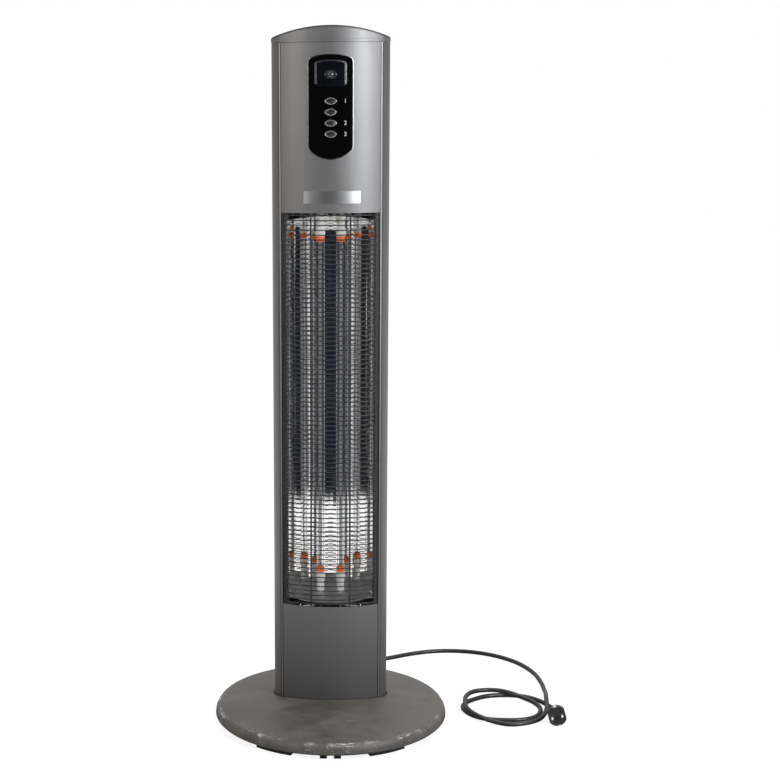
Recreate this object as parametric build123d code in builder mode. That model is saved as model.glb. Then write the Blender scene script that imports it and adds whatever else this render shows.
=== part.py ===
"""Infrared patio heater tower: an oval aluminium column with two upright quartz
lamps behind a wire grille, a control fascia on its head and a round weighted base.

Millimetres, +Z up. The origin is on the floor under the middle of the base, the
heater faces -Y and +X is on the right of someone who looks at its front.
"""
import os
from math import asin, cos, pi, radians, sin, sqrt, tan

from build123d import *

os.makedirs("parts", exist_ok=True)

# Tower: an oval of two wide arcs, front and rear, and two tight ones at the sides
tower_half_width = 108.0
tower_half_depth = 52.0
front_radius = 184.0
rail_top_z = 1288.0
running_gap = 0.3            # clearance between neighbouring curved pieces
seat_gap = 0.1               # clearance between pieces that are screwed or glued together

# Side rails and the sheet panels between them
rail_wall = 2.4
seam_x = 91.5                # inner edge of the rail's lip
lip_width = 2.6
groove_width = 1.2
groove_depth = 1.2
flange_inset = 4.8
flange_wall = 2.2
flange_reach = 9.0
rear_flange_reach = 13.0     # wider, for the panel's screws
web_wall = 2.0
web_x = 87.0
panel_wall = 1.8
panel_gap = 1.2              # from the lip to the panel's edge
hem_wall = 1.8
panel_screw_radius = 1.7
panel_screw_head_radius = 2.9
panel_screw_head_height = 1.6
panel_screw_edge = 1.0       # from a screw's head to the panel's edge
panel_screw_count = 5
panel_screw_margin = 50.0    # from a rail's end to the first screw
panel_screw_beyond = 2.0     # how far a screw's tip stands out of the flange
louvre_width = 52.0
louvre_column_gap = 14.0
louvre_height = 5.0
louvre_pitch = 16.0
louvre_rows = 8
head_louvre_drop = 138.0     # from the rails' top to the middle of the upper field
foot_louvre_rise = 146.0     # from the rails' foot to the middle of the lower field

# Heating window and its grille
head_length = 305.0          # of the panel above the window
foot_length = 195.0          # of the panel below it
wire_count = 84
wire_size = 2.2
wire_inset = 0.3
wire_chords = 6
upright_x = 36.5
upright_radius = 1.6
channel_width = 7.6

# Reflector: half of its folded section, from the front edge to the middle ridge
reflector_wall = 0.8
reflector_folds = [(85.3, -21.8), (79.5, -25.5), (68.0, -5.0), (57.0, 10.0), (42.0, 21.0), (11.0, 26.0),
                   (0.0, 17.0)]
reflector_end_gap = 2.0
end_plate_inset = 7.0
end_plate_rise = 36.0        # how far the plate's back edge stands in from its front edge
end_plate_wall = 0.8
upright_tuck = 5.0           # how far the uprights run on behind the panels

# Lamps
lamp_x = 19.0
lamp_y = -10.0
tube_radius = 7.0
tube_wall = 1.2
tube_foot_gap = 59.0         # from the window's lower edge to the tubes
tube_head_gap = 45.0         # from the tubes to its upper edge
seal_length = 10.0
seal_wall = 0.6
cap_radius = 9.0
cap_length = 15.0
cap_spigot_radius = 7.0
spigot_stand_out = 3.0       # how far a spigot stands out of its carrier
carrier_gap = 3.0            # from the reflector's end to the lamps' carrier
carrier_wall = 2.0
carrier_half_depth = 12.0
carrier_flange = 12.0
strip_width = 5.0
strip_thickness = 0.5
lead_radius = 1.5
lead_bend = 10.0

# Control fascia
fascia_width = 80.0
fascia_height = 185.0
fascia_drop = 22.0           # from the rails' top to the fascia's
fascia_arch_rise = 6.0
fascia_corner = 11.0
fascia_proud = 2.0
fascia_wall = 4.5
fascia_lap = 4.0             # how far it overlaps the panel round its cut-out
bevel_width = 1.4
bevel_proud = 1.5
display_width = 58.5
display_height = 49.0
display_drop = 9.0           # from the fascia's top to the display's
display_arch_rise = 4.0
display_corner = 6.0
display_recess = 2.2
display_side_trim = 4.3
display_top_trim = 2.0
display_wall = 1.3
display_trim_wall = 1.8
lens_drop = 26.0             # from the display's top to the lens's middle
lens_half_width = 11.5
lens_half_height = 7.5
lens_height = 3.0
lens_taper = 35.0

# Buttons: eye-shaped caps in bright rings
button_names = ("button_upper", "button_second", "button_third", "button_lower")
button_drop = 24.0           # from the display's lower edge to the first button
button_pitch = 19.6
ring_half_width = 11.2
ring_half_height = 6.1
ring_band = 1.9
ring_end_band = 2.6          # the band is wider at the eye's pointed ends
ring_proud = 1.0
ring_flange = 2.0
ring_flange_wall = 1.0
button_proud = 2.0
button_travel = 1.2
button_flange = 2.2
button_flange_wall = 1.2
button_crown = 0.9
button_crown_taper = 50.0
button_stem_radius = 2.5
button_gap = 0.25

# Boards and what they carry
board_wall = 1.6
board_side_margin = 5.0      # from the fascia's edge to the control board's
board_head_margin = 14.0
board_foot_margin = 17.0
board_front_y = -38.5
post_radius = 2.6
post_inset = 2.5             # from the board's side to a post's middle
post_margin = 7.0            # from the board's end to a post's middle
switch_size = 6.0
switch_height = 3.5
switch_plunger = 0.8
switch_plunger_radius = 1.7
power_board_y = 29.0
power_board_drop = 80.0      # from the rails' top to the power board's
power_board_height = 130.0
power_board_width = 130.0
standoff_radius = 3.5
board_hole_margin = 8.0
board_hole_radius = 1.6
component_height = 26.0
relay_width = 20.0
relay_length = 30.0
relay_places = ((-38.0, -30.0), (-10.0, -30.0))
transformer_width = 42.0
transformer_length = 36.0
transformer_place = (34.0, 18.0)
capacitor_radius = 9.0
capacitor_place = (-30.0, 30.0)
terminal_width = 84.0
terminal_depth = 18.0
terminal_height = 12.0
terminal_foot = 24.0
mains_terminal_rise = 84.0   # from the rails' foot
mains_terminal_height = 22.0
supply_radius = 3.5
supply_bend = 5.0
cutout_x = 26.0
cutout_drop = 103.0          # from the window's upper edge
cutout_radius = 8.0
cutout_height = 6.0
tip_switch_width = 26.0
tip_switch_depth = 16.0
tip_switch_height = 30.0
loom_radius = 3.0
loom_x = -30.0
loom_y = 36.5

# Head
collar_gap = 1.0             # dark seam between the panels and the collar
collar_proud = 0.8
collar_wall = 2.6
arch_apex_rise = 30.0        # above the rails' top
arch_corner_rise = 9.0
arch_corner_radius = 6.0
lid_wall = 3.0
lid_round = 1.2
collar_shoulder = 2.6
collar_line_z = 4.5          # a fine line above the collar's lower edge
collar_line_width = 0.8
collar_line_depth = 0.6
plug_wall = 2.5
plug_depth = 16.0
plug_inset = 7.6
plug_half_width = 84.5

# Base
base_radius = 223.0
base_bottom_z = 11.0
base_shoulder_inset = 6.5    # from the rim in to the shoulder
base_shoulder_z = 32.0
base_crown_z = 57.0
base_wall = 3.0
rim_chamfer = 3.0
rim_height = 5.0
socket_depth = 16.0          # from the crown down to the tower's seat
socket_floor = 3.0
socket_gap = 2.6
socket_wall = 4.0
gasket_height = 8.0
base_plate_wall = 2.0
base_plate_gap = 0.3
ballast_inset = 33.0         # from the rim in to the ballast's edge
ballast_height = 17.0
foot_flange = 3.0            # from the socket's floor to the rails' feet
foot_height = 14.0
bolt_radius = 4.0
bolt_head_radius = 6.5
bolt_boss_radius = 8.0
bolt_head_height = 5.0
bolt_x = 62.0
bolt_y = 20.0
pad_inset = 15.0             # from the rim in to a pad
pad_width = 18.0
pad_angle = 31.0             # middle of each long pad, from the front or rear
pad_span = 21.0
small_pad_span = 3.6
small_pad_angle = 3.6
base_screw_inset = 20.0      # from the rim in to a screw
base_screw_angles = (70.0, 110.0, 250.0, 290.0)
base_screw_length = 13.0
base_screw_head = 1.6
base_screw_head_radius = 3.6
base_screw_boss_radius = 5.0
base_screw_radius = 2.0

# Mains lead
cord_radius = 4.5
gland_rise = 46.0            # from the rails' foot to the lead's gland
gland_length = 32.0
gland_flange_radius = 11.0
gland_flange = 3.0
gland_neck_radius = 7.0
gland_neck_length = 8.0
gland_nut_radius = 10.0
gland_nut_width = 5.0
gland_nut_stand = 0.6        # from the neck's end to the nut
gland_nose_radius = 8.5
gland_tip_radius = 6.2
floor_lift = 0.2             # the lead lies this far above the floor in the model
plug_face = (433.6, -41.2)
coil_middle = (339.0, 48.0)
coil_steps = 8               # to a turn
coil_first_crossing = (427.0, 67.0)
coil_last_crossing = (426.0, 69.0)
coil_first_lift = 11.1
coil_over_lift = 10.8        # at least this, where a run lies on another one
coil_reach = (95.0, 92.5, 86.5, 73.0, 78.0, 63.5, 61.5, 74.0,
              78.5, 68.5, 76.8, 79.5, 65.5, 66.0, 79.0)
coil_lift = (2.0, 0.0, 8.0, 11.2, 10.9, 10.9, 4.0, 0.0,
             0.0, 0.0, 0.0, 0.0, 0.0, 0.0, 0.0)
plug_axis_angle = 84.0       # the way from the face to the tail, from +X towards +Y
plug_tilt = 10.0             # the tail's slope down to the floor
plug_roll = 16.0             # of the pins about the plug's axis
plug_half_flat = 16.4        # from the axis to the flat on each side
plug_radius = 19.0
plug_body_length = 34.0
plug_tail_length = 20.0
plug_tail_radius = 6.5
pin_radius = 2.4
pin_length = 19.0
pin_spacing = 19.0

# Sizes that follow from the ones above
front_centre = front_radius - tower_half_depth
side_radius = ((front_radius ** 2 - front_centre ** 2 - tower_half_width ** 2)
               / (2 * (front_radius - tower_half_width)))
side_centre = tower_half_width - side_radius
panel_half_width = seam_x - panel_gap
hem_depth = flange_inset - running_gap
socket_floor_z = base_crown_z - socket_depth
rim_top_z = base_bottom_z + rim_height
base_shoulder_radius = base_radius - base_shoulder_inset
ballast_radius = base_radius - ballast_inset
pad_outer_radius = base_radius - pad_inset
pad_inner_radius = pad_outer_radius - pad_width
base_screw_circle = base_radius - base_screw_inset
rail_bottom_z = socket_floor_z + foot_flange
panel_top_z = rail_top_z
window_bottom_z = rail_bottom_z + foot_length
window_top_z = rail_top_z - head_length
head_louvre_z = rail_top_z - head_louvre_drop
foot_louvre_z = rail_bottom_z + foot_louvre_rise
arch_apex_z = rail_top_z + arch_apex_rise
arch_corner_z = rail_top_z + arch_corner_rise
tube_bottom_z = window_bottom_z + tube_foot_gap
tube_top_z = window_top_z - tube_head_gap
cutout_z = window_top_z - cutout_drop
fascia_top_z = rail_top_z - fascia_drop
fascia_bottom_z = fascia_top_z - fascia_height
display_top_z = fascia_top_z - display_drop
display_bottom_z = display_top_z - display_height
lens_z = display_top_z - lens_drop
button_top_z = display_bottom_z - button_drop
board_half_width = fascia_width / 2 - board_side_margin
board_top_z = fascia_top_z - board_head_margin
board_bottom_z = fascia_bottom_z + board_foot_margin
post_x = board_half_width - post_inset
power_board_bottom_z = rail_top_z - power_board_drop - power_board_height
mains_terminal_z = rail_bottom_z + mains_terminal_rise
gland_z = rail_bottom_z + gland_rise
terminal_y = power_board_y + board_wall + 1.2


def write(piece, name):
    """Label a finished piece and write its file."""
    piece.label = name
    export_step(piece, f"parts/{name}.step")


def surface_y(x, inset=0.0):
    """Distance of the wide arc's surface from the tower's middle plane."""
    return sqrt((front_radius - inset) ** 2 - x ** 2) - front_centre


def oval(inset=0.0):
    """The tower's outline, drawn in by an even inset."""
    share = (front_radius - inset) / (front_radius - side_radius)
    join_x, join_y = side_centre * share, front_centre * (share - 1)
    width, depth = tower_half_width - inset, tower_half_depth - inset
    with BuildSketch() as outline:
        with BuildLine():
            ThreePointArc((-join_x, -join_y), (0, -depth), (join_x, -join_y))
            ThreePointArc((join_x, -join_y), (width, 0), (join_x, join_y))
            ThreePointArc((join_x, join_y), (0, depth), (-join_x, join_y))
            ThreePointArc((-join_x, join_y), (-width, 0), (-join_x, -join_y))
        make_face()
    return outline.sketch


def clipped(shape, x_from, x_to, y_from=-80.0, y_to=80.0):
    """The part of a sketch that lies in a rectangle."""
    with BuildSketch() as part_of:
        add(shape)
        with Locations(((x_from + x_to) / 2, (y_from + y_to) / 2)):
            Rectangle(x_to - x_from, y_to - y_from, mode=Mode.INTERSECT)
    return part_of.sketch


def wall(outer, inner):
    """A ring that follows the tower's outline between two insets."""
    with BuildSketch() as ring:
        add(oval(outer))
        add(oval(inner), mode=Mode.SUBTRACT)
    return ring.sketch


def front_wall(outer, inner, x_from, x_to):
    """A strip of the front, between two insets and two upright lines."""
    return clipped(wall(outer, inner), x_from, x_to, y_to=-10.0)


def mirrored(piece):
    """The other hand of a piece, across the tower's middle."""
    with BuildPart() as other_hand:
        mirror(piece, about=Plane.YZ)
    return other_hand.part


def eye(half_width, half_height):
    """A pointed oval of two arcs."""
    with BuildSketch() as outline:
        with BuildLine():
            ThreePointArc((-half_width, 0), (0, half_height), (half_width, 0))
            ThreePointArc((half_width, 0), (0, -half_height), (-half_width, 0))
        make_face()
    return outline.sketch


def front_plane(y, x=0.0, z=0.0):
    """An upright plane that faces the viewer, with x to the right and z up."""
    return Plane(origin=(x, y, z), x_dir=(1, 0, 0), z_dir=(0, -1, 0))


def fascia_outline(spread=0.0):
    """The fascia's face: arched at the top and half round at the bottom."""
    half = fascia_width / 2 + spread
    top, bottom = fascia_top_z + spread, fascia_bottom_z - spread
    shoulder = top - fascia_arch_rise
    belly = bottom + half * 0.47
    with BuildSketch() as outline:
        with BuildLine():
            ThreePointArc((-half, shoulder), (0, top), (half, shoulder))
            Line((half, shoulder), (half, belly))
            ThreePointArc((half, belly), (0, bottom), (-half, belly))
            Line((-half, belly), (-half, shoulder))
        make_face()
        fillet(outline.vertices().group_by(Axis.Y)[-1], fascia_corner + spread)
        fillet(outline.vertices().group_by(Axis.Y)[0], fascia_corner + spread)
    return outline.sketch


def display_outline(spread=0.0):
    """The recess for the display: arched at the top, round at the lower corners."""
    half = display_width / 2 + spread
    top, bottom = display_top_z + spread, display_bottom_z - spread
    shoulder = top - display_arch_rise
    with BuildSketch() as outline:
        with BuildLine():
            ThreePointArc((-half, shoulder), (0, top), (half, shoulder))
            Polyline((half, shoulder), (half, bottom), (-half, bottom), (-half, shoulder))
        make_face()
        fillet(outline.vertices(), display_corner + spread)
    return outline.sketch


def shaped_from_front(section, outline, z_from, z_to):
    """A strip of the front wall, cut to an outline that is seen from the front."""
    with BuildPart() as plate:
        with BuildSketch(Plane.XY.offset(z_from)):
            add(section)
        extrude(amount=z_to - z_from)
        with BuildSketch(front_plane(0)):
            add(outline)
        extrude(amount=tower_half_depth * 2, mode=Mode.INTERSECT)
    return plate.part


# Places of the rear panel's screws, square to its curved face
screw_x = panel_half_width - panel_screw_edge - panel_screw_head_radius
screw_lean = asin(screw_x / front_radius)
screw_span = rail_top_z - rail_bottom_z - 2 * panel_screw_margin
screw_rows = [rail_bottom_z + panel_screw_margin + screw_span * i / (panel_screw_count - 1)
              for i in range(panel_screw_count)]
screw_places = [Plane(origin=(side * screw_x, surface_y(screw_x), z), x_dir=(0, 0, 1),
                      z_dir=(side * sin(screw_lean), cos(screw_lean), 0)).location
                for side in (-1, 1) for z in screw_rows]

# Side rails: one extrusion, mirrored for the other side. Its lip stands beside the
# panels, its flanges run behind them and its web closes the section.
with BuildPart() as side_rail_right:
    with BuildSketch(Plane.XY.offset(rail_bottom_z)):
        add(clipped(wall(0, rail_wall), seam_x, tower_half_width + 1))
        add(clipped(wall(0, flange_inset + flange_wall), seam_x, seam_x + lip_width))
        add(clipped(wall(flange_inset, flange_inset + flange_wall), seam_x - flange_reach,
                    seam_x + lip_width, y_to=0))
        add(clipped(wall(flange_inset, flange_inset + flange_wall), seam_x - rear_flange_reach,
                    seam_x + lip_width, y_from=0))
        add(clipped(oval(flange_inset + flange_wall / 2), web_x - web_wall / 2, web_x + web_wall / 2))
        add(clipped(wall(-1, groove_depth), seam_x + lip_width,
                    seam_x + lip_width + groove_width), mode=Mode.SUBTRACT)
    extrude(amount=rail_top_z - rail_bottom_z)
    with Locations(screw_places):
        Cylinder(panel_screw_radius + seat_gap, 20, mode=Mode.SUBTRACT)
write(side_rail_right.part, "side_rail_right")
write(mirrored(side_rail_right.part), "side_rail_left")


def sheet_panel(z_from, z_to):
    """A front panel: curved sheet with a hem along each edge."""
    with BuildPart() as panel:
        with BuildSketch(Plane.XY.offset(z_from)):
            add(front_wall(0, panel_wall, -panel_half_width, panel_half_width))
            add(front_wall(0, hem_depth, panel_half_width - hem_wall, panel_half_width))
            add(front_wall(0, hem_depth, -panel_half_width, hem_wall - panel_half_width))
        extrude(amount=z_to - z_from)
    return panel.part


with BuildPart() as lower_front_panel:
    add(sheet_panel(rail_bottom_z, window_bottom_z))
write(lower_front_panel.part, "lower_front_panel")

# Upper front panel, with the cut-out that the fascia fills
with BuildPart() as upper_front_panel:
    add(sheet_panel(window_top_z, panel_top_z))
    with BuildSketch(front_plane(0)):
        add(fascia_outline(-fascia_lap))
    extrude(amount=tower_half_depth * 2, mode=Mode.SUBTRACT)
write(upper_front_panel.part, "upper_front_panel")

# Rear panel: the same sheet over the full height, with two fields of louvres, the
# hole for the lead's gland and the screws' holes
with BuildPart() as rear_panel:
    add(sheet_panel(rail_bottom_z, panel_top_z).rotate(Axis.Z, 180))
    for field_z in (head_louvre_z, foot_louvre_z):
        with BuildSketch(front_plane(0, z=field_z)):
            with GridLocations(louvre_width + louvre_column_gap, louvre_pitch, 2, louvre_rows):
                Rectangle(louvre_width, louvre_height)
        extrude(amount=-tower_half_depth * 2, mode=Mode.SUBTRACT)
    with Locations(Location((0, tower_half_depth, gland_z), (90, 0, 0))):
        Cylinder(gland_neck_radius + running_gap, 20, mode=Mode.SUBTRACT)
    with Locations(screw_places):
        Cylinder(panel_screw_radius + seat_gap, 20, mode=Mode.SUBTRACT)
write(rear_panel.part, "rear_panel")

with BuildPart() as panel_screws:
    with Locations(screw_places):
        Cylinder(panel_screw_head_radius, panel_screw_head_height,
                 align=(Align.CENTER, Align.CENTER, Align.MIN))
        Cylinder(panel_screw_radius, flange_inset + flange_wall + panel_screw_beyond,
                 align=(Align.CENTER, Align.CENTER, Align.MAX))
write(panel_screws.part, "panel_screws")

# Grille: level wires that follow the front's curve in short chords, two uprights
# welded behind them and a dark channel along each edge that carries their ends
wire_pitch = (window_top_z - window_bottom_z) / wire_count
wire_half_angle = asin((panel_half_width - running_gap) / front_radius)
chord_sag = front_radius * (1 - cos(wire_half_angle / wire_chords))
behind_wires = wire_inset + wire_size + chord_sag


def chord_points(inset):
    """Points of the front's curve at an inset, from left to right."""
    radius = front_radius - inset
    angles = [wire_half_angle * (2 * i / wire_chords - 1) for i in range(wire_chords + 1)]
    return [(radius * sin(a), front_centre - radius * cos(a)) for a in angles]


wire_levels = [window_bottom_z + wire_pitch * (row + 0.5) - wire_size / 2 for row in range(wire_count)]
with BuildPart() as grille_wires:
    with BuildSketch(*[Plane.XY.offset(z) for z in wire_levels]):
        with BuildLine():
            Polyline(*chord_points(wire_inset), *reversed(chord_points(wire_inset + wire_size)), close=True)
        make_face()
    extrude(amount=wire_size)
write(grille_wires.part, "grille_wires")

upright_y = upright_radius - surface_y(upright_x, behind_wires)
with BuildPart() as grille_uprights:
    with BuildSketch(Plane.XY.offset(window_bottom_z - upright_tuck)):
        with Locations((-upright_x, upright_y), (upright_x, upright_y)):
            Circle(upright_radius)
    extrude(amount=window_top_z - window_bottom_z + 2 * upright_tuck)
write(grille_uprights.part, "grille_uprights")

with BuildPart() as grille_channel_right:
    with BuildSketch(Plane.XY.offset(window_bottom_z + running_gap)):
        add(front_wall(behind_wires, flange_inset - running_gap, panel_half_width - channel_width,
                       panel_half_width))
    extrude(amount=window_top_z - window_bottom_z - 2 * running_gap)
write(grille_channel_right.part, "grille_channel_right")
write(mirrored(grille_channel_right.part), "grille_channel_left")

# Reflector: one bright sheet, folded into a facetted trough with a ridge between the
# lamps, and a sloping trapezoid that closes it at each end
trough_folds = reflector_folds + [(-x, y) for x, y in reversed(reflector_folds[:-1])]
trough_back_y = max(y for x, y in reflector_folds)
reflector_bottom_z = window_bottom_z + reflector_end_gap
reflector_top_z = window_top_z - reflector_end_gap
with BuildPart() as reflector:
    with BuildSketch(Plane.XY.offset(reflector_bottom_z)):
        with BuildLine():
            Polyline(*trough_folds)
        trace(line_width=reflector_wall)
    extrude(amount=reflector_top_z - reflector_bottom_z)
write(reflector.part, "reflector")

lamp_places = [(-lamp_x, lamp_y), (lamp_x, lamp_y)]


def end_plate(front_z, back_z):
    """A sloping plate that fills the trough's section, with a hole for each lamp."""
    front_y = -tower_half_depth
    with BuildPart() as plate:
        with BuildSketch(Plane.XY.offset(reflector_bottom_z)):
            with BuildLine():
                edge_x = trough_folds[1][0]
                Polyline(*trough_folds[1:-1], (-edge_x, front_y), (edge_x, front_y), close=True)
            make_face()
            offset(amount=-(reflector_wall / 2 + running_gap), kind=Kind.INTERSECTION)
            add(oval(end_plate_inset), mode=Mode.INTERSECT)
            with Locations(*lamp_places):
                Circle(cap_spigot_radius + running_gap, mode=Mode.SUBTRACT)
        extrude(amount=reflector_top_z - reflector_bottom_z)
        with BuildSketch(Plane.YZ):
            with BuildLine():
                Polyline((front_y, front_z), (trough_back_y, back_z),
                         (trough_back_y, back_z + end_plate_wall),
                         (front_y, front_z + end_plate_wall), close=True)
            make_face()
        extrude(amount=tower_half_width, both=True, mode=Mode.INTERSECT)
    return plate.part


with BuildPart() as reflector_end_top:
    add(end_plate(reflector_top_z - end_plate_wall, reflector_top_z - end_plate_rise))
write(reflector_end_top.part, "reflector_end_top")
with BuildPart() as reflector_end_bottom:
    add(end_plate(reflector_bottom_z, reflector_bottom_z + end_plate_rise))
write(reflector_end_bottom.part, "reflector_end_bottom")

# Lamps: a quartz tube round a carbon strip, an orange seal and a ceramic cap at each
# end, and a steel carrier that spans the rails' webs and holds the caps
for name, place in zip(("lamp_tube_left", "lamp_tube_right"), lamp_places):
    with BuildPart() as lamp_tube:
        with BuildSketch(Plane.XY.offset(tube_bottom_z)):
            with Locations(place):
                Circle(tube_radius)
                Circle(tube_radius - tube_wall, mode=Mode.SUBTRACT)
        extrude(amount=tube_top_z - tube_bottom_z)
    write(lamp_tube.part, name)

with BuildPart() as lamp_strips:
    with BuildSketch(Plane.XY.offset(tube_bottom_z)):
        with Locations(*lamp_places):
            Rectangle(strip_width, strip_thickness)
    extrude(amount=tube_top_z - tube_bottom_z)
write(lamp_strips.part, "lamp_strips")

with BuildPart() as lamp_seals:
    with BuildSketch(Plane.XY.offset(tube_bottom_z), Plane.XY.offset(tube_top_z - seal_length)):
        with Locations(*lamp_places):
            Circle(tube_radius + seat_gap + seal_wall)
            Circle(tube_radius + seat_gap, mode=Mode.SUBTRACT)
    extrude(amount=seal_length)
write(lamp_seals.part, "lamp_seals")

carrier_top_z = reflector_top_z + carrier_gap
carrier_bottom_z = reflector_bottom_z - carrier_gap
spigot_top_z = carrier_top_z + carrier_wall + spigot_stand_out
spigot_bottom_z = carrier_bottom_z - carrier_wall - spigot_stand_out
with BuildPart() as lamp_caps:
    for tube_end_z, way, spigot_end_z in ((tube_bottom_z, -1, spigot_bottom_z),
                                          (tube_top_z, 1, spigot_top_z)):
        with BuildSketch(Plane.XY.offset(tube_end_z)):
            with Locations(*lamp_places):
                Circle(cap_radius)
        extrude(amount=way * cap_length)
        with BuildSketch(Plane.XY.offset(tube_end_z)):
            with Locations(*lamp_places):
                Circle(cap_spigot_radius)
        extrude(amount=spigot_end_z - tube_end_z)
write(lamp_caps.part, "lamp_caps")


def lamp_carrier(face_z, way):
    """A flat bar with turned ends and a hole round each cap's spigot."""
    half_width = web_x - web_wall / 2 - running_gap
    with BuildPart() as carrier:
        with BuildSketch(Plane.XY.offset(face_z)):
            with Locations((0, lamp_y)):
                Rectangle(half_width * 2, carrier_half_depth * 2)
            with Locations(*lamp_places):
                Circle(cap_spigot_radius + running_gap, mode=Mode.SUBTRACT)
        extrude(amount=way * carrier_wall)
        with BuildSketch(Plane.XY.offset(face_z)):
            for side in (-1, 1):
                with Locations((side * (half_width - carrier_wall / 2), lamp_y)):
                    Rectangle(carrier_wall, carrier_half_depth * 2)
        extrude(amount=way * carrier_flange)
    return carrier.part


with BuildPart() as lamp_carrier_top:
    add(lamp_carrier(carrier_top_z, 1))
write(lamp_carrier_top.part, "lamp_carrier_top")
with BuildPart() as lamp_carrier_bottom:
    add(lamp_carrier(carrier_bottom_z, -1))
write(lamp_carrier_bottom.part, "lamp_carrier_bottom")


def lamp_leads(end_z, terminal_z):
    """A lead from each lamp's spigot back to the terminals' row, as two bends."""
    way = 1 if terminal_z > end_z else -1
    rise = abs(terminal_z - end_z)
    with BuildPart() as leads:
        for x, y in lamp_places:
            with BuildLine() as route:
                FilletPolyline((x, y, end_z), (x, y, end_z + way * rise * 0.25),
                               (x, terminal_y, end_z + way * rise * 0.7), (x, terminal_y, terminal_z),
                               radius=lead_bend)
            with BuildSketch(Plane(origin=route.line @ 0, z_dir=route.line % 0)):
                Circle(lead_radius)
            sweep(path=route.line)
    return leads.part


# Leads from the lamps to the terminals above and below them
with BuildPart() as leads_of_both_ends:
    add(lamp_leads(spigot_top_z, power_board_bottom_z - terminal_height))
    add(lamp_leads(spigot_bottom_z, mains_terminal_z + mains_terminal_height))
write(leads_of_both_ends.part, "lamp_leads")

# Power board behind the head: the board on four standoffs from the rear panel, its
# row of terminals, two relays, a transformer and a capacitor
power_board_plane = front_plane(power_board_y, z=power_board_bottom_z + power_board_height / 2)
board_holes = (power_board_width - 2 * board_hole_margin, power_board_height - 2 * board_hole_margin, 2, 2)
with BuildPart() as power_board:
    with BuildSketch(power_board_plane):
        Rectangle(power_board_width, power_board_height)
        with GridLocations(*board_holes):
            Circle(board_hole_radius, mode=Mode.SUBTRACT)
    extrude(amount=-board_wall)
write(power_board.part, "power_board")

standoff_outer_x = power_board_width / 2 - board_hole_margin + standoff_radius
standoff_start_y = power_board_y + board_wall
standoff_end_y = surface_y(standoff_outer_x, panel_wall) - seat_gap
with BuildPart() as power_standoffs:
    with BuildSketch(power_board_plane.offset(-board_wall)):
        with GridLocations(*board_holes):
            Circle(standoff_radius)
    extrude(amount=standoff_start_y - standoff_end_y)
write(power_standoffs.part, "power_standoffs")

with BuildPart() as power_terminals:
    with BuildSketch(Plane.XY.offset(power_board_bottom_z)):
        with Locations((0, terminal_y)):
            Rectangle(terminal_width, terminal_depth)
    extrude(amount=-terminal_height)
write(power_terminals.part, "power_terminals")

with BuildPart() as power_components:
    with BuildSketch(power_board_plane):
        with Locations(*relay_places):
            Rectangle(relay_width, relay_length)
        with Locations(transformer_place):
            Rectangle(transformer_width, transformer_length)
        with Locations(capacitor_place):
            Circle(capacitor_radius)
    extrude(amount=component_height)
write(power_components.part, "power_components")

# Mains terminals at the tower's foot, on a stub from the rear panel, the loom that
# runs up behind the reflector, and the inner lead that comes from the gland
with BuildPart() as mains_terminals:
    with BuildSketch(Plane.XY.offset(mains_terminal_z)):
        with Locations((0, terminal_y)):
            Rectangle(terminal_width, terminal_depth)
        stub_end_y = surface_y(terminal_foot / 2, panel_wall) - seat_gap
        with Locations((0, (terminal_y + stub_end_y) / 2)):
            Rectangle(terminal_foot, stub_end_y - terminal_y)
    extrude(amount=mains_terminal_height)
write(mains_terminals.part, "mains_terminals")

with BuildPart() as wiring_loom:
    with BuildSketch(Plane.XY.offset(mains_terminal_z + mains_terminal_height)):
        with Locations((loom_x, loom_y)):
            Circle(loom_radius)
    extrude(until=Until.NEXT, target=power_terminals.part)
write(wiring_loom.part, "wiring_loom")

gland_inner_y = tower_half_depth - gland_neck_length
with BuildPart() as supply_lead:
    with BuildLine() as supply_route:
        FilletPolyline((0, gland_inner_y, gland_z), (0, terminal_y, gland_z),
                       (0, terminal_y, mains_terminal_z), radius=supply_bend)
    with BuildSketch(Plane(origin=supply_route.line @ 0, z_dir=supply_route.line % 0)):
        Circle(supply_radius)
    sweep(path=supply_route.line)
write(supply_lead.part, "supply_lead")

# Thermal cut-out on the reflector's back and tip-over switch on the tower's foot
with BuildPart() as thermal_cutout:
    with BuildSketch(front_plane(trough_back_y + reflector_wall / 2, x=cutout_x, z=cutout_z)):
        Circle(cutout_radius)
    extrude(amount=-cutout_height)
    with BuildSketch(front_plane(trough_back_y + reflector_wall / 2, x=cutout_x, z=cutout_z)):
        Rectangle(cutout_radius * 3.4, cutout_radius * 0.9)
    extrude(amount=-1.0)
write(thermal_cutout.part, "thermal_cutout")

with BuildPart() as tip_switch:
    with BuildSketch(Plane.XY.offset(rail_bottom_z)):
        Rectangle(tip_switch_width, tip_switch_depth)
    extrude(amount=tip_switch_height)
    with BuildSketch(Plane.XY.offset(rail_bottom_z)):
        Rectangle(tip_switch_width + 12, tip_switch_depth * 0.6)
    extrude(amount=2)
write(tip_switch.part, "tip_switch")

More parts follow.
